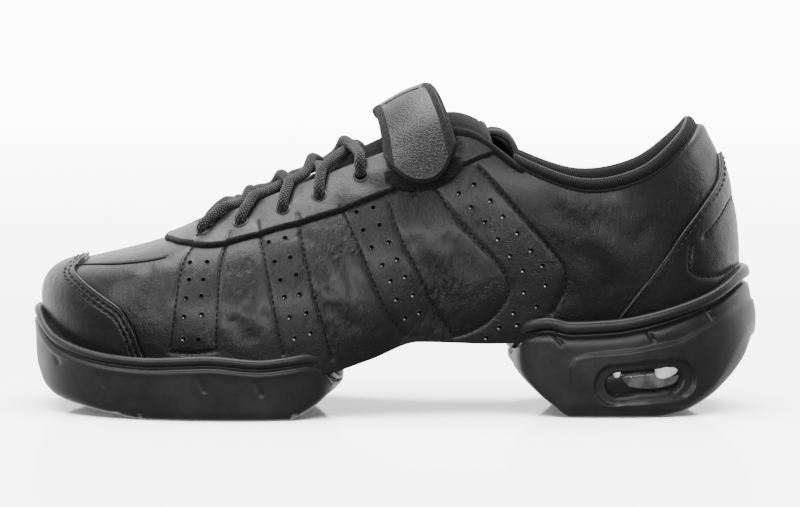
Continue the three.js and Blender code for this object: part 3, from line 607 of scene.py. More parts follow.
def patch_on(s, v, thick, sunk=0.5, both=True):
    """Parts for joined(): a leather patch over the s and v grids, on one side or on both."""
    parts = []
    for medial in ([False, True] if both else [False]):
        at = 2 - s if medial else s
        high = thick * edge_share(skin(at, v))
        outer, inner = hide(at, v, high), hide(at, v, -sunk)
        points, faces, uv = skirted(outer, inner, length_uv(outer))
        parts.append((points, faces[:, ::-1] if medial else faces, uv))
    return parts


def ruled(left, right, count, across):
    """Grids of s and v between two lines of s and v."""
    l, r = spread(left, count), spread(right, count)
    f = near_edges(across, 0.7)[None, :, None]
    g = l[:, None] * (1 - f) + r[:, None] * f
    return g[..., 0], g[..., 1]


# Stitches: short threads along a line on the leather
STITCH_LONG = 2.1
STITCH_PITCH = 2.9
STITCH_THICK = 0.36


def thread_shapes(points, tangents, normals, long=STITCH_LONG, thick=STITCH_THICK):
    """One small rounded bar for each point."""
    stations = [(-0.5, 0.25, -0.25), (-0.36, 0.85, 0.1), (0, 1, 0.3), (0.36, 0.85, 0.1), (0.5, 0.25, -0.25)]
    side = unit(np.cross(normals, tangents))
    ring = np.arange(6) * math.pi / 3
    rows = []
    for along_, fat, up in stations:
        for a in ring:
            rows.append(points + tangents * (along_ * long) + side * (thick * fat * math.cos(a))
                        + normals * (thick * (fat * math.sin(a) + up)))
    shape = np.stack(rows, 1)
    k = len(rows)
    one = grid_faces(5, 6, closed=True)
    caps = np.array([[3, 2, 1, 0], [5, 4, 3, 0], [24, 25, 26, 27], [24, 27, 28, 29]])
    one = np.vstack([one, caps])
    faces = (one[None] + (np.arange(len(points)) * k)[:, None, None]).reshape(-1, 4)
    return shape.reshape(-1, 3), faces[:, ::-1], None


def stitch_row(line, aside=0.0, out=0.0, both=True, pitch=STITCH_PITCH, long=STITCH_LONG):
    """Parts for joined(): stitches along a line of s and v, moved aside by so many millimetres."""
    parts = []
    for medial in ([False, True] if both else [False]):
        at = np.array(line)
        if medial:
            at[:, 0] = 2 - at[:, 0]
        dense = spread(at, 200)
        p = hide(dense[:, 0], dense[:, 1], out)
        n = normal(dense[:, 0], dense[:, 1])
        tangent = unit(np.gradient(p, axis=0))
        p = p + unit(np.cross(n, tangent)) * (-aside if medial else aside)
        run_ = np.concatenate([[0], np.cumsum(np.linalg.norm(np.diff(p, axis=0), axis=1))])
        places = np.arange(pitch / 2, run_[-1], pitch)
        pick = lambda values: np.stack([np.interp(places, run_, values[:, k]) for k in range(3)], -1)
        parts.append(thread_shapes(pick(p), unit(pick(tangent)), unit(pick(n)), long))
    return parts


def welt(line, aside, out, radius, both=True, count=160, squash=1.0):
    """Parts for joined(): a thin round edge along a line of s and v."""
    parts = []
    for medial in ([False, True] if both else [False]):
        at = spread(np.array(line), count)
        if medial:
            at[:, 0] = 2 - at[:, 0]
        p = hide(at[:, 0], at[:, 1], out)
        n = normal(at[:, 0], at[:, 1])
        tangent = unit(np.gradient(p, axis=0))
        b = unit(np.cross(n, tangent))
        p = p + b * (-aside if medial else aside)
        parts.append(tube_of(p, radius, 8, n, squash))
    return parts


def tube_of(path, radius, sides=12, up=None, squash=1.0, pinch=True):
    """Points, faces and uv of a tube along a path of points."""
    path = np.asarray(path, float)
    tangent = unit(np.gradient(path, axis=0))
    if up is None:
        up = np.zeros_like(path)
        up[0] = unit(np.cross(tangent[0], [0.3, 0.8, 0.5]))
        for k in range(1, len(path)):
            up[k] = unit(up[k - 1] - tangent[k] * (up[k - 1] @ tangent[k]))
    side = unit(np.cross(up, tangent))
    up = unit(np.cross(tangent, side))
    a = np.arange(sides) * 2 * math.pi / sides
    r = np.full(len(path), float(radius)) if np.isscalar(radius) else np.asarray(radius, float)
    if pinch:
        r = r.copy()
        r[[0, -1]] *= 0.35
    ring = (path[:, None] + side[:, None] * (r[:, None] * np.cos(a))[..., None]
            + up[:, None] * (r[:, None] * np.sin(a) * squash)[..., None])
    run_ = np.concatenate([[0], np.cumsum(np.linalg.norm(np.diff(path, axis=0), axis=1))])
    uv = np.stack(np.broadcast_arrays(run_[:, None], (a * radius if np.isscalar(radius) else a)[None]), -1)
    return ring.reshape(-1, 3), grid_faces(len(path), sides, closed=True, flip=True), uv


# Materials


def node(tree, kind, inputs=(), **values):
    made = tree.nodes.new(kind)
    for key, value in values.items():
        setattr(made, key, value)
    for key, value in dict(inputs).items():
        if isinstance(value, bpy.types.NodeSocket):
            tree.links.new(value, made.inputs[key])
        else:
            made.inputs[key].default_value = value
    return made


def surface(name, roughness, specular=0.5):
    made = bpy.data.materials.new(name)
    made.use_nodes = True
    tree = made.node_tree
    shader = tree.nodes["Principled BSDF"]
    shader.inputs["Roughness"].default_value = roughness
    shader.inputs["Specular IOR Level"].default_value = specular
    return made, tree, shader


def ramp(tree, value, low, high, at=(0.0, 1.0)):
    made = node(tree, "ShaderNodeMapRange", {"Value": value, "From Min": at[0], "From Max": at[1],
                                              "To Min": low, "To Max": high})
    return made.outputs["Result"]


def tones(tree, value, dark, light, at=(0.3, 0.7)):
    made = node(tree, "ShaderNodeValToRGB", {"Fac": value})
    made.color_ramp.elements[0].position = at[0]
    made.color_ramp.elements[1].position = at[1]
    made.color_ramp.elements[0].color = (*dark, 1)
    made.color_ramp.elements[1].color = (*light, 1)
    return made.outputs["Color"]


def grey(level):
    return (level, level, level * 1.02)


def bumps(tree, shader, layers):
    """Bump from several (height, depth in metres, strength) layers."""
    last = None
    for height, depth, strength in layers:
        inputs = {"Height": height, "Distance": depth, "Strength": strength}
        if last is not None:
            inputs["Normal"] = last
        last = node(tree, "ShaderNodeBump", inputs).outputs["Normal"]
    tree.links.new(last, shader.inputs["Normal"])


def noise(tree, where, scale, detail=3.0, rough=0.5):
    return node(tree, "ShaderNodeTexNoise", {"Vector": where, "Scale": scale, "Detail": detail,
                                              "Roughness": rough}).outputs["Fac"]


def leather(name, level=0.0105, gloss=0.36, grain=1150.0, pebble=0.3, coat=0.1, worn=1.0):
    """Dyed full grain leather: fine pebbles, pores, flexing wrinkles, a thin finish and slight wear."""
    made, tree, shader = surface(name, gloss, 0.5)
    where = node(tree, "ShaderNodeTexCoord").outputs["Object"]
    cells = node(tree, "ShaderNodeTexVoronoi", {"Vector": where, "Scale": grain, "Randomness": 1.0},
                 feature="DISTANCE_TO_EDGE").outputs["Distance"]
    grains = ramp(tree, cells, 0.0, 1.0, (0.0, 0.22))
    pores = noise(tree, where, grain * 2.2, 2.0)
    broad = noise(tree, where, 38.0, 4.0, 0.6)
    creased = node(tree, "ShaderNodeAttribute", attribute_name="creased").outputs["Fac"]
    slanted = node(tree, "ShaderNodeMapping", {"Vector": where, "Rotation": (0, -0.42, 0),
                                                "Scale": (1.0, 0.9, 0.55)}).outputs["Vector"]
    fine = node(tree, "ShaderNodeTexNoise", {"Vector": slanted, "Scale": 430.0, "Detail": 5.0, "Roughness": 0.62,
                                              "Distortion": 0.5}).outputs["Fac"]
    wrinkle = node(tree, "ShaderNodeTexNoise", {"Vector": where, "Scale": 160.0, "Detail": 4.0,
                                                 "Distortion": 0.6}).outputs["Fac"]
    tree.links.new(tones(tree, broad, grey(level * 0.8), grey(level * 1.45)), shader.inputs["Base Color"])
    dull = node(tree, "ShaderNodeMath", {0: ramp(tree, broad, gloss - 0.06, gloss + 0.08, (0.3, 0.7)),
                                          1: ramp(tree, wrinkle, -0.04 * worn, 0.05 * worn, (0.3, 0.7))},
                operation="ADD").outputs[0]
    tree.links.new(dull, shader.inputs["Roughness"])
    shader.inputs["Coat Weight"].default_value = coat
    shader.inputs["Coat Roughness"].default_value = 0.25
    bumps(tree, shader, [(wrinkle, 0.0007, 0.55 * worn), (fine, 0.0016, creased), (grains, 0.00016, pebble),
                         (pores, 0.00006, 0.3)])
    return made


def knit(name, level=0.028, rib=1.6, tilt=0.0, sheen=0.4):
    """Ribbed knit: rows of loops over ribs, matt with a soft nap."""
    made, tree, shader = surface(name, 0.92, 0.2)
    run_ = node(tree, "ShaderNodeUVMap", uv_map="run").outputs["UV"]
    turned = node(tree, "ShaderNodeMapping", {"Vector": run_, "Rotation": (0, 0, tilt)}).outputs["Vector"]
    ribs = node(tree, "ShaderNodeTexWave", {"Vector": turned, "Scale": 1.0 / rib / math.pi, "Distortion": 0.25,
                                             "Detail": 1.0}, wave_type="BANDS",
                bands_direction="X").outputs["Fac"]
    loops = node(tree, "ShaderNodeTexWave", {"Vector": turned, "Scale": 0.42, "Distortion": 1.2,
                                              "Detail": 1.0, "Detail Scale": 1.5}, wave_type="BANDS",
                 bands_direction="Y").outputs["Fac"]
    where = node(tree, "ShaderNodeTexCoord").outputs["Object"]
    fluff = noise(tree, where, 2600.0, 3.0, 0.7)
    both = node(tree, "ShaderNodeMath", {0: ribs, 1: ramp(tree, loops, 0.55, 1.0)},
                operation="MULTIPLY").outputs[0]
    # Colour follows the rib and loop height, darker in the dips: the knit pattern with painted shade in its
    # hollows.
    tree.links.new(tones(tree, both, grey(level * 0.7), grey(level * 1.4), (0.05, 0.95)),
                   shader.inputs["Base Color"])
    shader.inputs["Sheen Weight"].default_value = sheen
    shader.inputs["Sheen Roughness"].default_value = 0.5
    bumps(tree, shader, [(ribs, 0.0003, 0.5), (loops, 0.0002, 0.4), (fluff, 0.0002, 0.5)])
    return made


def rubber(name, level=0.011, rough=0.5, tread=False):
    """Moulded rubber: satin, a fine spark-eroded skin and faint scuffs."""
    made, tree, shader = surface(name, rough, 0.5)
    where = node(tree, "ShaderNodeTexCoord").outputs["Object"]
    fine = noise(tree, where, 2400.0, 2.0)
    broad = noise(tree, where, 55.0, 5.0, 0.65)
    tree.links.new(tones(tree, broad, grey(level * 0.85), grey(level * 1.5)), shader.inputs["Base Color"])
    tree.links.new(ramp(tree, broad, rough - 0.06, rough + 0.14, (0.3, 0.75)), shader.inputs["Roughness"])
    layers = [(fine, 0.00009, 0.5), (broad, 0.0004, 0.25)]
    if tread:
        weave = node(tree, "ShaderNodeTexVoronoi", {"Vector": where, "Scale": 420.0, "Randomness": 0.0},
                     distance="CHEBYCHEV").outputs["Distance"]
        layers.append((ramp(tree, weave, 1.0, 0.0, (0.28, 0.45)), 0.0005, 0.9))
    bumps(tree, shader, layers)
    return made


def braid(name, level=0.022):
    """Round braided cord: two sets of slanted strands crossing over."""
    made, tree, shader = surface(name, 0.8, 0.25)
    run_ = node(tree, "ShaderNodeUVMap", uv_map="run").outputs["UV"]
    heights = []
    for turn in (0.72, -0.72):
        slanted = node(tree, "ShaderNodeMapping", {"Vector": run_, "Rotation": (0, 0, turn)}).outputs["Vector"]
        heights.append(node(tree, "ShaderNodeTexWave", {"Vector": slanted, "Scale": 0.33, "Distortion": 0.0},
                            wave_type="BANDS", bands_direction="X").outputs["Fac"])
    crossed = node(tree, "ShaderNodeMath", {0: heights[0], 1: heights[1]}, operation="MULTIPLY").outputs[0]
    where = node(tree, "ShaderNodeTexCoord").outputs["Object"]
    fluff = noise(tree, where, 3000.0, 3.0, 0.7)
    # Colour follows the strand height, darker where the strands dip under: the braid pattern with painted shade in
    # its hollows.
    tree.links.new(tones(tree, crossed, grey(level * 0.4), grey(level * 2.0), (0.1, 0.8)),
                   shader.inputs["Base Color"])
    shader.inputs["Sheen Weight"].default_value = 0.35
    bumps(tree, shader, [(crossed, 0.0006, 0.9), (fluff, 0.0002, 0.4)])
    return made


def pile(name, level=0.016):
    """Loop pile, fuzzy and matt."""
    made, tree, shader = surface(name, 0.95, 0.1)
    where = node(tree, "ShaderNodeTexCoord").outputs["Object"]
    curls = node(tree, "ShaderNodeTexNoise", {"Vector": where, "Scale": 1500.0, "Detail": 4.0,
                                               "Distortion": 2.5}).outputs["Fac"]
    clumps = noise(tree, where, 380.0, 3.0)
    # Colour follows the curl height, darker low down: painted shade between the curls, on top of their own tone.
    tree.links.new(tones(tree, curls, grey(level * 0.3), grey(level * 3.0), (0.35, 0.7)),
                   shader.inputs["Base Color"])
    shader.inputs["Sheen Weight"].default_value = 0.2
    bumps(tree, shader, [(clumps, 0.0008, 0.7), (curls, 0.0006, 1.0)])
    return made


def thread(name, level=0.03):
    """Bonded sewing thread with a fine twist."""
    made, tree, shader = surface(name, 0.5, 0.4)
    where = node(tree, "ShaderNodeTexCoord").outputs["Object"]
    twist = node(tree, "ShaderNodeTexWave", {"Vector": where, "Scale": 900.0}, bands_direction="DIAGONAL")
    # Colour follows the twist's height, darker in its grooves: painted shade on the twist.
    tree.links.new(tones(tree, twist.outputs["Fac"], grey(level * 0.7), grey(level * 1.3)),
                   shader.inputs["Base Color"])
    bumps(tree, shader, [(twist.outputs["Fac"], 0.0001, 0.5)])
    return made


def clear_plastic(name):
    """Clear window plastic with faint flow marks."""
    made, tree, shader = surface(name, 0.06, 0.5)
    where = node(tree, "ShaderNodeTexCoord").outputs["Object"]
    flow = noise(tree, where, 120.0, 3.0)
    tree.links.new(tones(tree, flow, (0.05, 0.05, 0.05), (0.2, 0.2, 0.2)), shader.inputs["Base Color"])
    shader.inputs["Alpha"].default_value = 0.08
    shader.inputs["IOR"].default_value = 1.5
    bumps(tree, shader, [(flow, 0.0002, 0.2)])
    return made


def plain_fabric(name, level=0.03, scale=900.0):
    """Close plain weave."""
    made, tree, shader = surface(name, 0.9, 0.2)
    where = node(tree, "ShaderNodeTexCoord").outputs["Object"]
    weave = node(tree, "ShaderNodeTexVoronoi", {"Vector": where, "Scale": scale, "Randomness": 0.15}
                 ).outputs["Distance"]
    tree.links.new(tones(tree, weave, grey(level * 1.6), grey(level * 0.6), (0.1, 0.7)),
                   shader.inputs["Base Color"])
    shader.inputs["Sheen Weight"].default_value = 0.3
    bumps(tree, shader, [(weave, 0.0004, 0.8)])
    return made


def painted_shade_disc(name):
    """Near-black disc for the dark inside of a punched hole: painted shade."""
    made, tree, shader = surface(name, 0.9, 0.05)
    where = node(tree, "ShaderNodeTexCoord").outputs["Object"]
    tree.links.new(tones(tree, noise(tree, where, 900.0), grey(0.001), grey(0.003)),
                   shader.inputs["Base Color"])
    return made


LEATHER = leather("leather", 0.008, 0.34, coat=0.25)
# Leather twice as light, for the raised pinhole rims and the counter's low edge: a painted highlight on raised
# edges.
HIGHLIT_LEATHER = leather("leather_painted_highlight", 0.016, 0.36, 1000.0, 0.3)
STRAP_LEATHER = leather("strap_leather", 0.009, 0.3, 900.0, 0.4, 0.3, 0.15)
RUBBER = rubber("sole_rubber", 0.026, 0.33)
TREAD = rubber("tread_rubber", 0.013, 0.6, True)
KNIT = knit("rib_knit", 0.008, 0.9, sheen=0.1)
TONGUE_KNIT = knit("tongue_knit", 0.007, 1.0, sheen=0.08)
BINDING = knit("binding_tape", 0.012, 0.8, 0.5, 0.15)
LIGHT_TAPE = knit("light_tape", 0.05, 0.8, 0.5)
BRAID = braid("lace_braid", 0.013)
PILE = pile("loop_pile", 0.006)
STRAP_TAPE = pile("strap_tape", 0.014)
THREAD = thread("thread", 0.012)
# Near-black thread, also used for the painted shadow line along the vamp's far edge.
DARK_THREAD_AND_SHADOW = thread("seam_thread_and_painted_shadow", 0.004)
CLEAR = clear_plastic("clear_window")
FABRIC = plain_fabric("insole_fabric")
HOLE_SHADE = painted_shade_disc("hole_painted_shade")


# Upper: smooth outer skin, folded edge, inner face and the waist's underside
SKIN_ROUND = 400
SKIN_UP = 180


def upper():
    shells = []
    for name, first in (("upper_lateral", 0.0), ("upper_medial", 1.0)):
        s = np.linspace(first, first + 1, SKIN_ROUND)[:, None]
        v = np.linspace(0, 1, SKIN_UP)[None, :]
        padded = 1.3 * np.exp(-(((s - 1) / 0.07) ** 2)) * np.exp(-(((v - 0.95) / 0.07) ** 2))
        outer = hide(s, v, padded)
        inner = hide(s, np.linspace(1, 0, 10)[None, :], -WALL)
        lip = hide(s, np.array([[1.0]]), -WALL / 2) + (skin(s, 1.0) - skin(s, 0.99)) * 1.2
        under = (feather(s[:, 0]) - out_of(feather_plan, s[:, 0]) * 9.0)[:, None]
        rows = np.concatenate([outer, lip, inner, under], 1)
        faces = grid_faces(SKIN_ROUND, rows.shape[1], False, True)
        made = piece(name, rows, faces, LEATHER, "leather", length_uv(rows))
        creased = np.zeros(rows.shape[:2])
        creased[:, :SKIN_UP] = from_map(WRINKLE_MAP, np.broadcast_to(s, (SKIN_ROUND, SKIN_UP)),
                                        np.broadcast_to(v, (SKIN_ROUND, SKIN_UP)))
        mark(made, creased)
        shells.append(made)
    t = np.linspace(0.01, 0.99, 120)[:, None]
    f = np.linspace(0, 1, 24)[None, :, None]
    lateral, medial = feather(t[:, 0])[:, None], feather(2 - t[:, 0])[:, None]
    sag = np.zeros((120, 24, 3))
    puckers = np.sin(0.55 * (lateral[..., 0] * (1 - f[..., 0]) + medial[..., 0] * f[..., 0]))
    sag[..., 2] = 0.25 * puckers * np.sin(np.pi * f[..., 0]) ** 0.5 + 0.1
    board = lateral * (1 - f) + medial * f + sag
    piece("waist_underside", board, grid_faces(120, 24), LEATHER, "leather", length_uv(board))
    for shell in shells:
        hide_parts("upper")


# Toe guard, heel counter and eyestay, as tables of skin heights
GUARD = [(0, 0.58), (0.035, 0.555), (0.06, 0.48), (0.075, 0.425), (0.105, 0.37), (0.137, 0.32),
         (0.17, 0.274), (0.192, 0.241), (0.216, 0.155), (0.236, 0.05)]
COUNTER = [(0.788, 0.05), (0.803, 0.13), (0.835, 0.288), (0.87, 0.439), (0.91, 0.575),
           (0.94, 0.615), (0.97, 0.64), (1, 0.72)]
EYESTAY = [(0, 0.9), (0.1, 0.86), (0.185, 0.76), (0.265, 0.66), (0.32, 0.676), (0.427, 0.701),
           (0.514, 0.722), (0.592, 0.749), (0.652, 0.796), (0.69, 0.887), (0.71, 0.96)]
OVER = 1.45


def band(low, high, s0, s1, count, across):
    """Grids of s and v between two heights over the skin, from s0 to s1."""
    s = s0 + (s1 - s0) * near_edges(count, 0.3)[:, None]
    t = fold(s)
    f = near_edges(across, 0.6)[None, :]
    v = low(t) * (1 - f) + high(t) * f
    return np.broadcast_to(s, v.shape), v


def heights(rows):
    return lambda t: along(rows, t, 1)


def edge_line(rows, first, last, count=80):
    """The s and v line of a table's edge on the lateral side."""
    t = np.linspace(first, last, count)
    return np.stack([t, along(rows, t, 1)], -1)


def all_round(rows, first, last, count=200):
    """The same edge from the lateral side round the toe or the heel to the medial side."""
    s = np.linspace(first, last, count)
    return np.stack([s, along(rows, fold(s), 1)], -1)


GUARD_ROWS = (1.9, 3.9)


def toe_guard():
    s, v = band(lambda t: np.full_like(t, 0.0), heights(GUARD), -0.236, 0.236, 260, 110)
    rim = all_round(GUARD, -0.236, 0.236)
    off = distance(skin(s, v), skin(rim[:, 0], rim[:, 1]))[0]
    thick = OVER - sum(0.32 * np.exp(-(((off - row) / 0.5) ** 2)) for row in GUARD_ROWS)
    made = joined("toe_guard_leather", patch_on(s, v, thick, both=False), LEATHER, "leather")
    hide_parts("toe_guard")


def heel_counter():
    s, v = band(lambda t: np.full_like(t, 0.0), heights(COUNTER), 0.788, 1.212, 220, 80)
    made = joined("heel_counter_leather", patch_on(s, v, OVER, both=False), LEATHER, "leather")
    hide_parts("heel_counter")


def eyestay():
    parts = []
    for side in (False, True):
        s = 0.708 * (1 - near_edges(320, 0.2)[:, None]) if side else 0.708 * near_edges(320, 0.2)[:, None]
        f = near_edges(36, 0.6)[None, :]
        low = along(EYESTAY, s, 1)
        v = low * (1 - f) + 0.996 * f
        at = np.broadcast_to(-s if side else s, v.shape)
        high = OVER * edge_share(skin(at, v))
        if not side:
            high[: 2] = OVER
        else:
            high[-2:] = OVER
        outer, inner = hide(at, v, high), hide(at, v, -0.5)
        parts.append(skirted(outer, inner, length_uv(outer)))
    made = joined("eyestay_leather", parts, LEATHER, "leather")
    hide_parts("eyestay")


HOLES_AT = [
    (194.8, 262.7), (211.7, 262.3), (194.4, 279.7), (208.4, 279.7), (191.5, 297.8), (206.7, 295.5),
    (189.8, 316), (207.2, 314), (189.3, 337.6), (203.9, 338), (198, 246), (214, 246),
    (283.5, 280), (299, 275), (287.6, 296.6), (302, 294), (292.6, 316.5), (308.7, 312.4),
    (297.6, 337), (313, 332), (278, 262), (293, 258), (272, 243), (288, 239),
    (357.7, 213.3), (374, 209), (364, 231), (380, 226), (372, 248), (389, 243), (382.7, 265.4),
    (397, 260), (390.8, 281), (405, 277), (396.5, 299), (412.8, 294.7), (405, 317.4), (419, 312),
    (457.6, 194.8), (472.6, 186.2), (469.7, 208.6), (488.6, 202), (483, 223), (500.7, 217.7),
    (496, 240), (515, 234), (508, 256), (528, 251), (520.5, 270.6), (539.4, 266), (521.8, 292),
    (542.8, 285), (511.5, 312.4), (534, 306), (497.7, 327), (515, 324), (484.8, 337),
]
# Holes left without a painted glint.
UNLIT_HOLES = [(194.8, 262.7), (194.4, 279.7), (208.4, 279.7), (206.7, 295.5), (203.9, 338), (198, 246),
               (214, 246), (357.7, 213.3), (283.5, 280), (299, 275), (278, 262), (374, 209)]


def pinholes():
    rims, shade_discs, glints = [], [], []
    a = np.arange(14) * 2 * math.pi / 14
    for px, py in HOLES_AT:
        s, v = on_upper(px, py)
        for at in (s, 2 - s):
            n = normal(at, v)
            c = hide(at, v, 0.0)
            u = unit(np.cross(n, [0.0, 0.0, 1.0]))
            w = np.cross(n, u)
            ring = u * np.cos(a)[:, None] + w * np.sin(a)[:, None]
            rows = np.stack([c + ring * 1.15 + n * 0.02, c + ring * 0.98 + n * 0.15,
                             c + ring * 0.82 + n * 0.1, c + ring * 0.74 - n * 0.05])
            rims.append((rows, grid_faces(4, 14, closed=True, flip=True), None))
            # A near-black disc over the hole: painted shade for its dark inside.
            disc = np.stack([c + ring * 0.78 + n * 0.06, np.broadcast_to(c + n * 0.05, ring.shape)])
            shade_discs.append((disc, grid_faces(2, 14, closed=True, flip=True), None))
            # Light grey discs at the lower side of the other holes: painted glints, a painted highlight on the
            # punched edge.
            if (px, py) not in UNLIT_HOLES:
                side = 1 if at == s else -1
                g = c - np.array([0.0, 0.0, 0.42]) + u * 0.34 * side
                glint = np.stack([g + ring * 0.36 + n * 0.08, g + ring * 0.2 + n * 0.16,
                                  np.broadcast_to(g + n * 0.18, ring.shape)])
                glints.append((glint, grid_faces(3, 14, closed=True, flip=True), None))
    joined("hole_glints", glints, PAINTED_GLINT, "leather")
    # Raised rims round the pinholes in lighter leather: a painted highlight.
    joined("hole_rims", rims, HIGHLIT_LEATHER, "leather")
    joined("hole_painted_shades", shade_discs, HOLE_SHADE, "leather")


def stitches():
    seams = []
    for k, line in enumerate(SEAM_LINES):
        over = OVER if k >= len(SEAM_LINES) - 2 else 0.0
        seams += stitch_row(line, 0.0, over + 0.02, pitch=2.35, long=2.25)
    guard = all_round(GUARD, -0.23, 0.23)
    for row in GUARD_ROWS:
        seams += stitch_row(guard, -row, OVER - 0.2, both=False)
    joined("seam_stitches", seams, DARK_THREAD_AND_SHADOW, "leather")
    parts = []
    counter = all_round(COUNTER, 0.792, 1.208)
    parts += stitch_row(counter, -1.9, OVER + 0.02, both=False)
    joined("stitches", parts, THREAD, "leather")


def edge_welts():
    """Folded leather edges along the guard, the counter and the counter's inner seam, the last in lighter leather
    as a painted highlight; the eyestay's piping; and a near-black tube along the vamp's far edge as a painted
    shadow.
    """
    parts = welt(all_round(GUARD, -0.236, 0.236), -0.2, OVER - 0.35, 0.55, both=False, count=220)
    parts += welt(all_round(COUNTER, 0.788, 1.212), -0.2, OVER - 0.3, 0.6, both=False, count=220)
    joined("folded_edges", parts, LEATHER, "leather")
    # The counter's low edge in lighter leather: a painted highlight along the raised edge.
    low = welt(edge_line(COUNTER, 0.79, 0.842), -0.1, OVER - 0.1, 0.8, count=80)
    joined("counter_bright_edge", low, HIGHLIT_LEATHER, "leather")
    stay = all_round(EYESTAY, -0.711, 0.711, 420)
    joined("eyestay_piping", welt(stay, 0.9, 0.5, 1.3, both=False, count=420, squash=0.8), PILE, "loop_pile")
    # A near-black tube along the vamp's far edge: a painted shadow line of that edge.
    far_shadow_line = welt(FAR_EDGE, 0.0, 0.25, 0.5, count=120)
    joined("vamp_far_edge_painted_shadow", far_shadow_line, DARK_THREAD_AND_SHADOW, "leather")


# Sole units
# Wall profiles from the floor up: step out in mm, share of the body, or mm below the rim
FORE_PROFILE = [
    # out, share, below
    (-4.4, 0.12, None), (-2.9, 0.0, None), (-2.1, 0.02, None), (-1.5, 0.07, None), (-1.0, 0.16, None),
    (-0.7, 0.35, None), (-0.5, 0.6, None), (-0.35, 0.85, None), (-0.2, 0.97, None),
    (-0.05, None, 6.3), (-0.05, None, 5.6), (-0.3, None, 4.9), (-0.9, None, 4.3), (-1.6, None, 3.95),
    (-1.75, None, 3.6), (-1.2, None, 3.2), (-0.45, None, 2.8), (-0.1, None, 2.2), (0.0, None, 1.5),
    (-0.15, None, 0.8), (-0.5, None, 0.3), (-1.1, None, 0.0), (-2.2, None, 0.1), (-3.4, None, 1.0),
    (-5.0, None, 1.1), (-7.0, None, 1.3),
]
HEEL_PROFILE = [
    # out, share, below
    (-4.6, 0.1, None), (-3.0, 0.0, None), (-2.2, 0.02, None), (-1.7, 0.06, None), (-1.3, 0.15, None),
    (-1.1, 0.3, None), (-1.0, 0.5, None), (-1.05, 0.75, None), (-1.2, 0.93, None),
    (-1.6, 0.985, None), (-2.3, 1.0, None), (-3.3, None, 5.9), (-3.6, None, 5.2), (-3.3, None, 4.7),
    (-1.6, None, 4.3), (-0.6, None, 3.9), (-0.12, None, 3.2), (0.0, None, 2.3), (-0.05, None, 1.5),
    (-0.3, None, 0.7), (-0.75, None, 0.2), (-1.4, None, 0.0), (-2.6, None, 0.1), (-3.8, None, 1.0),
    (-5.4, None, 1.2), (-7.0, None, 1.4),
]
PANEL_SHAPE = [(0.236, 0.1), (0.56, 0.1), (0.56, 1.3), (0.478, 1.26), (0.46, 1.22), (0.432, 1.08),
               (0.386, 0.88), (0.326, 0.78), (0.262, 0.73), (0.243, 0.68), (0.236, 0.58)]
PANEL_STEP = 0.9
WINDOW_X = LENGTH * 0.338
WINDOW_Z = HEEL_SEAT * 0.4
WINDOW_TILT = 0.09
WINDOW_LIP = 4.0
WINDOW_RECESS = 0.8
WINDOW_DEEP = 5.0
SLITS = [(555, 339), (645, 335), (705, 315)]
NOTCHES = [(60, 360), (107, 378), (207, 380), (262, 384)]


def in_slot(x, z, inset):
    """Signed distance to the window's outline, less inset; negative inside."""
    c, n = math.cos(WINDOW_TILT), math.sin(WINDOW_TILT)
    u = (x - WINDOW_X) * c + (z - WINDOW_Z) * n
    w = -(x - WINDOW_X) * n + (z - WINDOW_Z) * c
    long, high = WINDOW_LONG - 2 * inset, WINDOW_HIGH - 2 * inset * 0.7
    r = high / 2
    return np.hypot(np.maximum(np.abs(u) - (long / 2 - r), 0), w) - r


def in_shape(x, z, shape):
    """Signed distance to a closed outline in side view; negative inside."""
    best = np.full(x.shape, 1e9)
    inside = np.zeros(x.shape, bool)
    for (ax, az), (bx, bz) in zip(shape, shape[1:] + shape[:1]):
        dx, dz = bx - ax, bz - az
        f = np.clip(((x - ax) * dx + (z - az) * dz) / (dx * dx + dz * dz), 0, 1)
        best = np.minimum(best, np.hypot(x - ax - f * dx, z - az - f * dz))
        crosses = (az > z) != (bz > z)
        inside ^= crosses & (x < (bx - ax) * (z - az) / (dz if dz else 1e-9) + ax)
    return np.where(inside, -best, best)


def wall_surface(plan, edges, profile, around, rows, rake):
    """Points of a unit's wall, and the outward direction of each station."""
    ring = ring_of(plan, lambda r: 0)
    s = np.linspace(0, 2, around, endpoint=False)
    p, n = ring(s), out_of(ring, s)
    a = p[:, 0] / LENGTH
    top = along(edges, a, 1) * HEEL_SEAT
    bottom = along(edges, a, 2) * HEEL_SEAT
    k = np.minimum(1, (top - bottom) / (RIM_BAND * 1.47))
    body = top - RIM_BAND * k - bottom
    columns = []
    for out, share, below in profile:
        z = top - below * k if share is None else bottom + body * share
        columns.append(np.stack([np.full(around, out), z], -1))
    knots = np.stack(columns, 1)
    dense = []
    q = np.concatenate([[0], np.cumsum(np.linalg.norm(np.diff(knots.mean(0), axis=0), axis=1))])
    at = np.linspace(0, q[-1], rows)
    for k_ in range(2):
        m = np.gradient(knots[..., k_], q, axis=1)
        i = np.clip(np.searchsorted(q, at, side="right") - 1, 0, len(q) - 2)
        h = q[i + 1] - q[i]
        f = (at - q[i]) / h
        f2, f3 = f * f, f * f * f
        y = knots[..., k_]
        dense.append((2 * f3 - 3 * f2 + 1) * y[:, i] + (f3 - 2 * f2 + f) * h * m[:, i] * 0.7
                     + (3 * f2 - 2 * f3) * y[:, i + 1] + (f3 - f2) * h * m[:, i + 1] * 0.7)
    out, z = dense
    back = rake * np.maximum(0, (a - 0.4) * 10)[:, None] ** 2
    back = back * np.clip((z - bottom[:, None]) / (top - bottom)[:, None], 0, 1)
    points = p[:, None] + n[:, None] * out[..., None]
    points[..., 2] = z
    points[..., 0] -= back
    return points, np.broadcast_to(n[:, None], points.shape), np.clip((z - bottom[:, None]) / body[:, None], -1, 2)


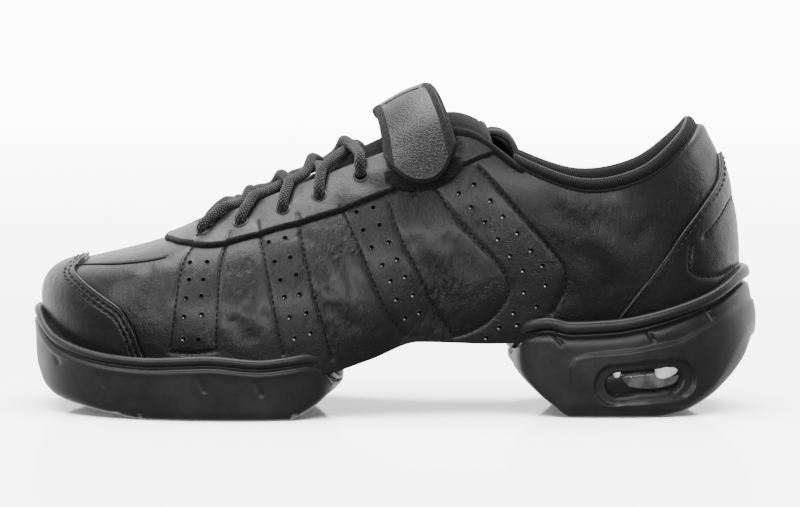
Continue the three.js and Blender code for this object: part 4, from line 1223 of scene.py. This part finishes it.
def slit(x, z, centre, tilt, long, wide):
    c, n = math.cos(tilt), math.sin(tilt)
    u = (x - centre[0]) * c + (z - centre[1]) * n
    w = -(x - centre[0]) * n + (z - centre[1]) * c
    return np.exp(-((w / wide) ** 2)) * (1 - step(np.abs(u), long / 2 - 0.6, long / 2))


def at_side(px, py, y=-38.0):
    """Side view place in millimetres of a pixel at a given depth."""
    return (px - PHOTO_MIDDLE_X) / PHOTO_SCALE, (PHOTO_FLOOR_Y - PHOTO_DEPTH * y - py) / PHOTO_SCALE


def bottom_of(plan, edges, count, across, out, marks):
    """Underside of a unit with its grooves."""
    ring = ring_of(plan, lambda r: 0)
    t = near_edges(count, 0.7) * 0.998 + 0.001
    lateral = ring(t) + out_of(ring, t) * out
    medial = ring(2 - t) + out_of(ring, 2 - t) * out
    f = near_edges(across, 0.4)[None, :, None]
    points = lateral[:, None] * (1 - f) + medial[:, None] * f
    rim = [along(edges, ring(at)[:, 0] / LENGTH, 2)[:, None] for at in (t, 2 - t)]
    off = np.minimum(f[..., 0], 1 - f[..., 0]) * np.linalg.norm(lateral - medial, axis=-1)[:, None]
    near = np.exp(-off / 5.0)
    low = near * (rim[0] * (1 - f[..., 0]) + rim[1] * f[..., 0])
    low = low + (1 - near) * along(edges, points[..., 0] / LENGTH, 2)
    points[..., 2] = low * HEEL_SEAT + marks(points[..., 0], points[..., 1])
    return points


DISC_X = LENGTH * -0.24
DISC_RADIUS = BALL_WIDTH * 0.22
GROOVE_WIDE = 2.2
GROOVE_DEEP = 1.4


def trough(d, wide, deep):
    return deep * (1 - step(np.abs(d), wide / 2 - 0.3, wide / 2 + 0.15))


def fore_marks(x, y):
    r = np.hypot(x - DISC_X, y)
    deep = trough(r - DISC_RADIUS + GROOVE_WIDE / 2, GROOVE_WIDE, GROOVE_DEEP)
    for k in (-1.75, -1.35, 1.35):
        deep = np.maximum(deep, trough(x - DISC_X - DISC_RADIUS * k, GROOVE_WIDE, GROOVE_DEEP))
    return deep


def heel_marks(x, y):
    deep = np.zeros_like(x)
    for k in (0.26, 0.295, 0.33):
        deep = np.maximum(deep, trough(x - LENGTH * k, GROOVE_WIDE, GROOVE_DEEP))
    return deep


def fore_sole():
    points, out, share = wall_surface(FORE_PLAN, FORE_EDGES, FORE_PROFILE, 500, 64, 0)
    x, z = points[..., 0], points[..., 2]
    push = np.zeros_like(x)
    for k in (-1.75, -1.35, 1.35):
        push -= trough(x - DISC_X - DISC_RADIUS * k, GROOVE_WIDE, 0.9) * (1 - step(z, 1.4, 2.6))
    low = (share > 0.05) & (share < 0.95)
    for px, py in NOTCHES:
        push -= np.where(low, 0.35 * slit(x, z, at_side(px, py), -1.1, 7.0, 0.8), 0)
    points = points + out * push[..., None]
    made = piece("forefoot_wall", points, grid_faces(500, 64, True), RUBBER, "sole_rubber", length_uv(points))
    tread = bottom_of(FORE_PLAN, FORE_EDGES, 190, 84, -2.85, fore_marks)
    piece("forefoot_tread", tread, grid_faces(190, 84, flip=True), TREAD, "sole_rubber", length_uv(tread))
    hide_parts("outsole_forefoot")


def heel_sole():
    points, out, share = wall_surface(HEEL_PLAN, HEEL_EDGES, HEEL_PROFILE, 600, 92, HEEL_RAKE)
    x, z = points[..., 0], points[..., 2]
    rear = step(x / LENGTH, 0.43, 0.485)
    body = step(share, 0.0, 0.16 + 0.3 * rear) * (1 - step(share, 0.86 - 0.3 * rear, 0.99))
    shape = [(a * LENGTH, h * HEEL_SEAT) for a, h in PANEL_SHAPE]
    push = (PANEL_STEP * (1 - step(in_shape(x, z, shape), -0.7, 0.1))) * body
    frame_ = in_slot(x, z, 0)
    hole = in_slot(x, z, WINDOW_LIP)
    level = -WINDOW_RECESS + 0.1 * step(hole, 0.5, 3)
    push = push * step(frame_, -0.35, 0.25) + level * (1 - step(frame_, -0.35, 0.25))
    push = push - WINDOW_DEEP * (1 - step(hole, -0.5, 0.1))
    for px, py in SLITS:
        push -= 0.9 * slit(x, z, at_side(px, py, -36), -0.95, 5.5, 0.6) * step(share, 0.2, 0.4)
    points = points + out * push[..., None]
    made = piece("heel_wall", points, grid_faces(600, 92, True), RUBBER, "sole_rubber", length_uv(points))
    tread = bottom_of(HEEL_PLAN, HEEL_EDGES, 160, 76, -2.95, heel_marks)
    piece("heel_tread", tread, grid_faces(160, 76, flip=True), TREAD, "sole_rubber", length_uv(tread))
    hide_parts("outsole_heel")


def wall_at(x, z, side):
    """Points of the heel wall's plain surface at places in side view, lateral (-1) or medial (1)."""
    points, _, _ = wall_surface(HEEL_PLAN, HEEL_EDGES, HEEL_PROFILE, 400, 60, HEEL_RAKE)
    half = points[:201] if side < 0 else points[200:]
    flat = half[:, 4:34].reshape(-1, 3)
    y = np.empty(x.size)
    for k, (px, pz) in enumerate(zip(x.ravel(), z.ravel())):
        d = (flat[:, 0] - px) ** 2 + (flat[:, 2] - pz) ** 2
        near = np.argpartition(d, 4)[:4]
        w = 1 / (d[near] + 0.02)
        y[k] = (flat[near, 1] * w).sum() / w.sum()
    return np.stack([x, y.reshape(x.shape), z], -1)


def slot_grid(inset, rings, around):
    """Side view places filling the window's slot, from its rim to its middle."""
    long, high = WINDOW_LONG - 2 * inset, WINDOW_HIGH - 2 * inset * 0.7
    r = high / 2
    a = np.arange(around) * 2 * math.pi / around
    cap = np.where(np.cos(a) > 0, 1, -1) * (long / 2 - r)
    f = 1 - near_edges(rings, 0.5)
    u = cap[:, None] * f + r * np.cos(a)[:, None] * f
    w = r * np.sin(a)[:, None] * f
    c, n = math.cos(WINDOW_TILT), math.sin(WINDOW_TILT)
    return WINDOW_X + u * c - w * n, WINDOW_Z + u * n + w * c, f, u, w


# Inside the window, in pixels of the photograph: a clear core, its two bright stays and a dark floor; the core and
# the stays glow with painted light, standing in for light let through from behind
BRIGHT_STAY = [(650, 367), (656, 362.5), (668, 362), (673, 366), (671, 373), (660, 378), (652, 376)]
CURVED_STAY = [(611, 377), (608.5, 371), (613, 366), (622, 364.5), (624, 367), (617, 370), (615, 376)]
CORE_BAND = [(617, 377), (626, 373), (648, 375), (668, 379), (674, 374), (670, 383), (650, 388), (626, 386)]


def shape_piece(name, pixels, depth, thick, side, look, round_=0.8):
    """A small moulded block behind the window, outlined in side view."""
    outline = smooth_line(pixels + pixels[:1], 49)[:-1]
    y = -36.0
    x, z = at_side(outline[:, 0], outline[:, 1], y)
    middle = np.array([x.mean(), z.mean()])
    rows = []
    for shrink, rise in ((1.0, 0.0), (1.0, 0.7), (0.93, 0.93), (0.8, 1.0), (0.02, 1.0)):
        px = middle[0] + (x - middle[0]) * shrink
        pz = middle[1] + (z - middle[1]) * shrink
        base = wall_at(px, pz, side)
        base[:, 1] += side * (depth + thick * rise)
        rows.append(base)
    rows = np.stack(rows, 1)
    return piece(name, rows, grid_faces(48, 5, True, flip=side > 0)[:, ::-1], look, "clear_window",
                 length_uv(rows))


def windows():
    """Clear panes with a core and two stays behind each."""
    for side, name in ((-1, "window_lateral"), (1, "window_medial")):
        out = np.array([0.0, side, 0.0])
        x, z, f, u, w = slot_grid(WINDOW_LIP + GAP, 12, 64)
        base = wall_at(x, z, side)
        crown = 0.55 * (1 - f**2.5)
        front = base + out * (crown[None] - 1.6)[..., None]
        back = base + out * (crown[None] - 2.3)[..., None]
        pane = np.concatenate([front, back[:, ::-1]], 1)
        faces = grid_faces(64, pane.shape[1], True, flip=side < 0)
        made = piece(name + "_pane", pane, faces[:, ::-1], CLEAR, "clear_window", length_uv(pane))
        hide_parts(name)
        x, z, f, u, w = slot_grid(WINDOW_LIP - 0.2, 16, 64)
        base = wall_at(x, z, side)
        bulge = 0.9 * np.sqrt(np.clip(1 - (w / 4.4) ** 2, 0, 1))
        inner = base + out * (-5.3 + bulge)[..., None]
        piece(name + "_floor", inner, grid_faces(64, 16, True, flip=side > 0), CAPSULE, "clear_window",
              length_uv(inner))
        shape_piece(name + "_core", CORE_BAND, -4.9, 1.3, side, GLOWING_CORE)
        shape_piece(name + "_stay_rear", BRIGHT_STAY, -4.7, 2.4, side, GLOWING_STAY)
        shape_piece(name + "_stay_front", CURVED_STAY, -4.7, 2.3, side, GLOWING_STAY)


# Opening: points over the throat from the lateral edge (f 0) to the medial edge (f 1)


def bridge(t, f, out, v=1.0, pull=0.75, tm=None):
    t, f, out = np.broadcast_arrays(np.asarray(t, float), np.asarray(f, float), np.asarray(out, float))
    tm = t if tm is None else np.broadcast_to(tm, t.shape)
    a, b = lifted(t, v, out), lifted(2 - tm, v, out)
    ta = unit(a - lifted(t, v - 0.06, out))
    tb = unit(b - lifted(2 - tm, v - 0.06, out))
    m = (np.asarray(pull) * 1.6 * np.linalg.norm(a - b, axis=-1))[..., None]
    f = f[..., None]
    f2, f3 = f * f, f**3
    return ((2 * f3 - 3 * f2 + 1) * a + (f3 - 2 * f2 + f) * m * ta
            + (3 * f2 - 2 * f3) * b - (f3 - f2) * m * tb)


TONGUE_FROM = 0.13
TONGUE_TO = 0.7
TONGUE_DIP = 0.2
TONGUE_GAP = WALL + GAP * 1.83
TONGUE_ROOT = LENGTH * 0.08
UNDER = 0.17


def tongue_points(i, j, out):
    i, j, out = np.broadcast_arrays(np.asarray(i, float), np.asarray(j, float), np.asarray(out, float))
    t = TONGUE_FROM + (TONGUE_TO - TONGUE_FROM) * i
    left = lifted(t, 0.84 + 0.16 * j / UNDER, out)
    right = lifted(2 - t, 0.84 + 0.16 * (1 - j) / UNDER, out)
    pull = 0.75 - TONGUE_DIP * i**4 + 0.12 * np.exp(-(((i - 0.6) / 0.14) ** 2))
    over = bridge(t, np.clip((j - UNDER) / (1 - 2 * UNDER), 0, 1), out, pull=pull)
    j = j[..., None]
    return np.where(j < UNDER, left, np.where(j > 1 - UNDER, right, over))


def tongue():
    i = near_edges(130, 0.35)[:, None]
    j = near_edges(66, 0.2)[None, :]
    flat = tongue_points(i, j, -TONGUE_GAP)
    pad = edge_share(flat) ** 0.5
    length = np.linspace(0, 1, 130)[:, None]
    puff = 0.5 * np.sin(26 * length) * step(length, 0.2, 0.35)
    ribs = 0.28 * np.cos(2 * math.pi * length_uv(flat)[..., 1] / 3.4)
    top = tongue_points(i, j, -TONGUE_GAP - 0.15 + (pad - 1) * 1.6 + 0.35 * ribs + 0.2 * puff)
    low = tongue_points(i, j, -TONGUE_GAP - TONGUE_THICK + 0.4 + (1 - pad) * 1.3)
    root_top, root_low = top[:1] * 1.0, low[:1] * 1.0
    for root in (root_top, root_low):
        root[..., 0] -= TONGUE_ROOT
        root[..., 1] *= 0.6
        root[..., 2] -= TONGUE_ROOT * 0.48
    top, low = np.concatenate([root_top, top]), np.concatenate([root_low, low])
    made = piece("tongue_pad", *slab(top, low, length_uv(top))[:2], TONGUE_KNIT, "knit",
                 np.concatenate([length_uv(top).reshape(-1, 2)] * 2))
    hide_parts("tongue")
    rim = tongue_points(1.0, np.linspace(0.2, 0.8, 90), -TONGUE_GAP - TONGUE_THICK / 2)
    edge_ = tube_of(rim + np.array([0.2, 0, -0.2]), 1.9, 14, squash=0.9)
    joined("tongue_binding", [edge_], BINDING, "knit")


LINING = [
    # rise, out, in mm from the collar's edge
    (0.3, -0.3), (0.9, 0.65), (2.2, 0.85), (3.7, 0.35), (4.7, -0.9), (4.9, -2.4), (4.3, -4.2),
    (2.6, -5.8), (0.4, -6.8), (-3.5, -7.3), (-8, -7.2), (-14, -6.2), (-19, -4.6), (-21.3, -3.6),
    (-14, -3.3), (-6, -3.4), (-0.5, -3.4), (0.3, -2.6),
]
LINING_FROM = 0.735
HEEL_PEAK = 2.6
FAR_RISE = 4.0


def lining_points(s, rise, out):
    s, rise, out = np.broadcast_arrays(np.asarray(s, float), np.asarray(rise, float), np.asarray(out, float))
    p, q = skin(s, 0.94), skin(s, 1.0)
    d = q - p
    l = np.linalg.norm(d, axis=-1)
    inside = lifted(s, 1 + np.minimum(rise, 0) / l * 0.06, out)
    return inside + d / l[..., None] * np.maximum(rise, 0)[..., None]


def collar():
    s = np.linspace(LINING_FROM, 2 - LINING_FROM, 300)[:, None]
    profile = smooth_line(LINING + LINING[:1], 61)[:-1]
    ends = np.sqrt(np.clip(1 - (1 - np.minimum(s - s[0], s[-1] - s) / 0.012).clip(0) ** 2, 0.02, 1))
    middle = profile[:12].mean(0)
    peak = np.exp(-(((s - 1) / 0.07) ** 2))
    rise = middle[0] + (profile[None, :, 0] - middle[0]) * ends
    out = middle[1] + (profile[None, :, 1] - middle[1]) * ends
    out = out + HEEL_PEAK * peak * np.clip(profile[None, :, 0] / 4.9, 0, 1)
    puff = 0.22 * np.sin(21 * s) * np.exp(-(((profile[None, :, 0] + 8) / 7) ** 2))
    rows = lining_points(s, rise, out + puff)
    made = piece("collar_pad", rows, grid_faces(300, 60, closed=True), KNIT, "knit", length_uv(rows))
    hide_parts("collar_lining")
    along_ = np.linspace(LINING_FROM + 0.002, 2 - LINING_FROM - 0.002, 300)
    low = tube_of(lining_points(along_, 0.5, 0.35), 0.75, 10, squash=0.8)
    peak = np.exp(-(((along_ - 1) / 0.07) ** 2))
    high = tube_of(lining_points(along_, 4.75, HEEL_PEAK * peak - 1.35), 0.6, 8)
    joined("collar_binding_edges", [low], BINDING, "knit")
    joined("collar_top_line", [high], LIGHT_TAPE, "knit")


THROAT = [
    # rise, out, in mm from the throat's edge
    (-2.6, OVER), (-1.6, OVER + 0.5), (0.2, OVER + 0.6), (1.6, OVER), (2.3, 0.2), (2.2, -1.4),
    (1.2, -2.6), (-1.5, -2.9), (-3.0, -2.6), (-2.8, -1.2),
]


def throat_binding():
    """Knit tape folded over the throat's edges from under the strap to the collar."""
    profile = smooth_line(THROAT + THROAT[:1], 37)[:-1]
    middle = profile.mean(0)
    parts = []
    for side in (1, -1):
        s = np.linspace(0.59, LINING_FROM + 0.012, 90)[:, None]
        ends = np.sqrt(np.clip(1 - (1 - (s[-1] - s) / 0.02).clip(0) ** 2, 0.05, 1))
        rise = middle[0] + (profile[None, :, 0] - middle[0]) * ends
        out = middle[1] + (profile[None, :, 1] - middle[1]) * ends
        if side < 0:
            rise = rise + FAR_RISE * np.exp(-(((s - 0.727) / 0.027) ** 2)) * (profile[None, :, 0] > 0)
        rows = lining_points(s if side > 0 else 2 - s, rise, out)
        parts.append((rows, grid_faces(90, 36, closed=True, flip=side < 0), length_uv(rows)))
    joined("throat_binding", parts, KNIT, "knit")


STRAP_OVER = GAP * 3 + OVERLAY + STRAP_PATCH_THICK
TIP_ROUND = 0.19
STRAP_TUCK = 0.03
PATCH_ROUND = 0.11


def strap_points(q, j, out):
    q, j, out = np.broadcast_arrays(np.asarray(q, float), np.asarray(j, float), np.asarray(out, float))
    tl = 0.595 + (q - 0.5) * 0.1099
    tm = 0.5675 + (q - 0.5) * 0.105 + STRAP_TUCK * (1 - q) * step(j, 0.5, 0.74)
    tip = 0.712 + TIP_ROUND * np.abs(2 * q - 1) ** 2.1
    down, leave, foot = 0.2, 0.93, 0.78
    left = lifted(tl, tip + (leave - tip) * j / down, out)
    right = lifted(2 - tm, foot + (leave - foot) * (1 - j) / down, out)
    over = bridge(tl, np.clip((j - down) / (1 - 2 * down), 0, 1), out, leave, 1, tm)
    j = j[..., None]
    return np.where(j < down, left, np.where(j > 1 - down, right, over))


def strap():
    q = near_edges(56, 0.5)[:, None]
    j = near_edges(150, 0.35)[None, :]
    flat = strap_points(q, j, STRAP_OVER)
    pad = edge_share(flat)
    cross = np.exp(-(((j - 0.44) / 0.006) ** 2)) * 0.35
    crown = 0.35 * np.sin(math.pi * q) ** 0.6
    top = strap_points(q, j, STRAP_OVER + STRAP_THICK - 0.75 + crown - cross - 1.1 * (1 - pad))
    low = strap_points(q, j, STRAP_OVER + 0.15 + 0.5 * (1 - pad))
    uv = length_uv(top)
    points, faces, uvs = slab(top, low, uv)
    made = piece("strap_leather_face", points, faces, STRAP_LEATHER, "strap_leather", uvs)
    worn = np.broadcast_to(0.1 * (1 - step(j, 0.02, 0.14)), flat.shape[:2])
    mark(made, np.concatenate([worn, worn]))
    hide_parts("instep_strap")
    down = np.linspace(0.96, 0.03, 120)
    tip = np.linspace(0, 1, 62)[1:-1]
    edge_q = np.concatenate([0 * down, tip, 0 * down + 1])
    edge_j = np.concatenate([down, 0 * tip, down[::-1]])
    inner_q = 0.5 + (edge_q - 0.5) * 0.66
    inner_j = np.maximum(edge_j, 0.036)
    f = np.array([-0.1, -0.12, 0.0, 0.3, 0.6, 0.85, 1.0, 1.04])
    lift = np.array([-2.4, -0.8, -0.1, 0.3, 0.35, 0.25, 0.0, -0.5])
    q2 = edge_q[:, None] + (inner_q - edge_q)[:, None] * f
    j2 = edge_j[:, None] + (inner_j - edge_j)[:, None] * f
    rows = strap_points(q2, j2, STRAP_OVER + STRAP_THICK - 0.85 + lift[None])
    tape = (rows.reshape(-1, 3), grid_faces(300, 8, flip=True), length_uv(rows))
    joined("strap_binding", [tape], STRAP_TAPE, "knit")
    seam = strap_points(np.linspace(0.2, 0.8, 60), 0.44, STRAP_OVER + STRAP_THICK - 0.62)
    joined("strap_seam", [tube_of(seam, 0.34, 8)], DARK_THREAD_AND_SHADOW, "strap_leather")


def bars_along(p, pitch=STITCH_PITCH):
    """Stitches along a line of points, with the surface's outward side facing up and out."""
    tangent = unit(np.gradient(p, axis=0))
    up = unit(p - np.array([p[:, 0].mean(), 0.0, 45.0]) * [1, 1, 1])
    up = unit(up - tangent * (up * tangent).sum(-1, keepdims=True))
    d = np.concatenate([[0], np.cumsum(np.linalg.norm(np.diff(p, axis=0), axis=1))])
    places = np.arange(pitch / 2, d[-1], pitch)
    pick = lambda values: np.stack([np.interp(places, d, values[:, k]) for k in range(3)], -1)
    return thread_shapes(pick(p), unit(pick(tangent)), unit(pick(up)))


def strap_patch():
    i, j = near_edges(60, 0.4)[:, None], near_edges(50, 0.4)[None, :]
    i, j = np.broadcast_arrays(i, j)
    round_ = PATCH_ROUND * np.abs(2 * i - 1) ** 2.6
    s, v = 0.535 + 0.118 * i, 0.684 + (0.16 - round_) * j + round_
    flat = lifted(s, v, np.zeros(s.shape))
    high = OVER + 0.2 + 1.0 * edge_share(flat)
    outer, inner = hide(s, v, high), hide(s, v, OVER - 0.6)
    made = joined("loop_pile_patch", [skirted(outer, inner, length_uv(outer))], PILE, "loop_pile")
    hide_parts("strap_patch")


# Laces
LACE_HOLES = [(0.203, 0.843), (0.29, 0.816), (0.368, 0.82), (0.43, 0.842), (0.498, 0.886)]
LACE_OVER = OVERLAY + GAP * 2.33 + LACE_RADIUS
LACE_LOW = LACE_RADIUS + GAP * 2.33 - TONGUE_GAP


def crossing(start, end, dip, flip):
    last = start == end or end == LACE_HOLES[-1]
    under = LACE_OVER if last else -1.2
    near = (lambda t: 2 - t) if flip else (lambda t: t)
    path = [lifted(near(start[0]), start[1] - 0.012, OVER - 1.4),
            lifted(near(start[0]), start[1] - 0.004, LACE_OVER - 0.9),
            lifted(near(start[0]), start[1] + (1 - start[1]) * 0.3, LACE_OVER),
            lifted(near(start[0]), start[1] + (1 - start[1]) * 0.65, LACE_OVER)]
    for k in range(9):
        f = k / 8
        from_ = LACE_OVER + (under - LACE_OVER) * f
        out = from_ + (LACE_LOW - from_) * math.sin(math.pi * f) ** 0.9
        out += (dip - LACE_LOW) * math.exp(-(((f - 0.5) / 0.17) ** 2))
        path.append(bridge(start[0] + (end[0] - start[0]) * f, 1 - f if flip else f, out))
    if last:
        path.append(lifted(near(2 - end[0]), end[1] + (1 - end[1]) * 0.4, LACE_OVER))
        path.append(lifted(near(2 - end[0]), end[1] - 0.01, OVER - 1.2))
    return tube_of(smooth_line(np.array(path), 90), LACE_RADIUS + 0.35, 16)


def laces():
    parts = [crossing(LACE_HOLES[0], LACE_HOLES[0], LACE_LOW + LACE_RADIUS, False)]
    for k in range(len(LACE_HOLES) - 1):
        a, b = LACE_HOLES[k], LACE_HOLES[k + 1]
        parts.append(crossing(a, b, LACE_LOW, k % 2 == 0))
        parts.append(crossing(a, b, LACE_LOW + 1.9 * LACE_RADIUS, k % 2 == 1))
    made = joined("lace_cords", parts, BRAID, "lace_braid")
    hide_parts("laces")
    rims, shade_discs = [], []
    a = np.arange(18) * 2 * math.pi / 18
    for t, v in LACE_HOLES:
        for at in (t, 2 - t):
            n = normal(at, v)
            c = hide(at, v - 0.008, OVER)
            u = unit(np.cross(n, [0.0, 0.0, 1.0]))
            ring = u * np.cos(a)[:, None] + np.cross(n, u) * np.sin(a)[:, None]
            rows = np.stack([c + ring * 3.0 + n * 0.0, c + ring * 2.7 + n * 0.22, c + ring * 2.3 + n * 0.16,
                             c + ring * 2.1 - n * 0.1])
            rims.append((rows, grid_faces(4, 18, closed=True, flip=True), None))
            # A near-black disc over the hole: painted shade for its dark inside.
            disc = np.stack([c + ring * 2.2 + n * 0.06, np.broadcast_to(c + n * 0.05, ring.shape)])
            shade_discs.append((disc, grid_faces(2, 18, closed=True, flip=True), None))
    joined("lace_hole_rims", rims, LEATHER, "leather")
    joined("lace_hole_painted_shades", shade_discs, HOLE_SHADE, "leather")


def tongue_loop():
    a = tongue_points(1.0, 0.5, -TONGUE_GAP)
    b = edge(0.74)
    wide = BALL_WIDTH * 0.09

    def at(i, j, out):
        w = math.pi * (0.06 + 0.9 * i)
        rx, rz = (b[0] - a[0]) * 0.42 + out, INSTEP_HEIGHT * 0.05 + out
        x = a[0] + (b[0] - a[0]) * 0.5 - rx * np.cos(w)
        z = a[2] - INSTEP_HEIGHT * 0.0718 + rz * np.sin(w) - i * INSTEP_HEIGHT * 0.05
        return np.stack(np.broadcast_arrays(x, wide * (2 * j - 1), z), -1)

    i, j = near_edges(44, 0.2)[:, None], near_edges(20, 0.6)[None, :]
    pad = edge_share(at(i, j, 0.7)) * np.ones((44, 20))
    outer, inner = at(i, j, 1.2 + 0.8 * pad), at(i, j, -0.5 - 0.4 * pad)
    points, faces, uvs = slab(outer, inner, length_uv(outer))
    made = piece("tongue_pull_loop", points, faces, BINDING, "knit", uvs)
    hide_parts("tongue_loop")
    edges = [tube_of(at(np.linspace(0, 1, 60), k, 0.8), 1.0, 10, squash=1.1) for k in (0.03, 0.97)]
    joined("tongue_loop_edges", edges, EDGING, "knit")


def insole():
    t = near_edges(160, 0.5)[:, None] * 0.99 + 0.005
    lateral = feather(t[:, 0]) - out_of(feather_plan, t[:, 0]) * 3.5
    medial = feather(2 - t[:, 0]) - out_of(feather_plan, 2 - t[:, 0]) * 3.5
    f = near_edges(40, 0.5)[None, :, None]
    points = lateral[:, None] * (1 - f) + medial[:, None] * f
    points[..., 2] = seat_at(points[..., 0]) + WALL + GAP * 1.5 + 0.3
    puff = edge_share(points)
    rim = 0.9 * (1 - step(np.minimum(f[..., 0], 1 - f[..., 0]), 0.0, 0.12)) * (1 - step(t, 0.5, 0.6) * 0.3)
    points[..., 2] += 2.4 * puff + 0.25 * rim
    low = points.copy()
    low[..., 2] = seat_at(points[..., 0]) + WALL + GAP * 1.5
    made = piece("insole_pad", *skirted(points, low, length_uv(points))[:2], FABRIC, "insole_fabric")
    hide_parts("insole")


FLOOR_LIGHT = 31.0
SKY_SEEN = 15.0
SKY_BEHIND = 2.2
SKY_FRONT = 0.2
FLOOR_GLOW = 9.0
LIGHTS = [
    # name, place, aim, width, height, watts
    ("overhead", (-0.1, 0.05, 1.2), (0, 0, 0.05), 1.3, 0.9, 26.0),
    ("front_left", (-1.2, -0.9, 0.8), (-0.05, 0, 0.05), 0.5, 0.8, 6.0),
    ("rear_right", (1.3, 0.2, 0.6), (0.08, 0, 0.05), 0.5, 0.8, 3.0),
    ("low_front", (-0.1, -1.6, 0.5), (0, 0, 0.03), 1.8, 0.14, 12.0),
]


def aimed(name, kind, place, aim):
    data = bpy.data.lights.new(name, kind)
    lamp = bpy.data.objects.new(name, data)
    lamp.location = place
    look = np.array(aim) - np.array(place)
    lamp.rotation_euler = mathutils.Vector(look.tolist()).to_track_quat("-Z", "Y").to_euler()
    bpy.context.collection.objects.link(lamp)
    return lamp, data


def floor():
    mesh = bpy.data.meshes.new("floor")
    size = 30.0
    mesh.from_pydata([(-size, -size, 0), (size, -size, 0), (size, size, 0), (-size, size, 0)], [],
                     [(0, 1, 2, 3)])
    made = bpy.data.objects.new("floor", mesh)
    made.location = (0, 0, -0.0002)
    bpy.context.collection.objects.link(made)
    look, tree, shader = surface("pale_floor", 0.07, 0.5)
    shader.inputs["Base Color"].default_value = (0.93, 0.93, 0.93, 1)
    shader.inputs["Emission Color"].default_value = (1, 1, 1, 1)
    place = node(tree, "ShaderNodeTexCoord").outputs["Object"]
    away = node(tree, "ShaderNodeVectorMath", {0: place}, operation="LENGTH").outputs["Value"]
    tree.links.new(ramp(tree, away, 0.0, FLOOR_GLOW, (0.3, 2.4)), shader.inputs["Emission Strength"])
    mesh.materials.append(look)
    made.visible_glossy = False
    made.visible_diffuse = False
    lamp, data = aimed("floor_light", "SUN", (0, 0, 3), (0.0, 0.3, 0))
    data.energy = FLOOR_LIGHT
    data.angle = 1.3
    lit = bpy.data.collections.new("floor_only")
    lit.objects.link(made)
    lamp.light_linking.receiver_collection = lit


def sky():
    """White behind the shoe, dim in front of it, as in a studio with a dark camera side."""
    world = bpy.data.worlds.new("studio")
    bpy.context.scene.world = world
    world.use_nodes = True
    tree = world.node_tree
    seen = node(tree, "ShaderNodeLightPath").outputs["Is Camera Ray"]
    way = node(tree, "ShaderNodeTexCoord").outputs["Generated"]
    back = node(tree, "ShaderNodeSeparateXYZ", {"Vector": way}).outputs["Y"]
    lit = node(tree, "ShaderNodeMapRange", {"Value": back, "From Min": -0.2, "From Max": 0.75,
                                             "To Min": SKY_FRONT, "To Max": SKY_BEHIND},
               interpolation_type="SMOOTHSTEP").outputs["Result"]
    strength = node(tree, "ShaderNodeMix", {0: seen, 2: lit, 3: SKY_SEEN}, data_type="FLOAT").outputs[0]
    background = tree.nodes["Background"]
    background.inputs["Color"].default_value = (1, 1, 1, 1)
    tree.links.new(strength, background.inputs["Strength"])


def stage():
    """Pale floor and soft light: a large panel overhead, one at each end and a low one in front."""
    floor()
    sky()
    for name, place, aim, wide, high, power in LIGHTS:
        lamp, data = aimed(name, "AREA", place, aim)
        data.shape = "RECTANGLE"
        data.size, data.size_y = wide, high
        data.energy = power


EDGING = plain_fabric("edging_tape", 0.09, 1400.0)


def moulded(name, dark, light, rough, painted_glow=0.0):
    """Clear or pale moulded plastic with flow marks; painted_glow makes the plastic glow in its own colour,
    painted light standing in for light let through from behind.
    """
    made, tree, shader = surface(name, rough, 0.6)
    where = node(tree, "ShaderNodeTexCoord").outputs["Object"]
    cloudy = noise(tree, where, 160.0, 3.0)
    shade = tones(tree, cloudy, grey(dark), grey(light), (0.35, 0.65))
    tree.links.new(shade, shader.inputs["Base Color"])
    # The same colour also glows by painted_glow: painted light from a part that is no lamp.
    tree.links.new(shade, shader.inputs["Emission Color"])
    shader.inputs["Emission Strength"].default_value = painted_glow
    bumps(tree, shader, [(cloudy, 0.0006, 0.5)])
    return made


# Light grey plastic for the glints in the pinholes: a painted highlight.
PAINTED_GLINT = moulded("painted_glint", 0.35, 0.9, 0.2)
CAPSULE = moulded("window_floor", 0.001, 0.004, 0.25)
# Core and stays glow: painted light standing in for light let through the window from behind.
GLOWING_CORE = moulded("window_core_painted_glow", 0.05, 0.2, 0.12, 0.35)
GLOWING_STAY = moulded("window_stay_painted_glow", 0.6, 1.0, 0.3, 0.7)

upper()
toe_guard()
heel_counter()
eyestay()
pinholes()
stitches()
edge_welts()
fore_sole()
heel_sole()
windows()
tongue()
collar()
throat_binding()
strap()
strap_patch()
laces()
tongue_loop()
insole()
stage()
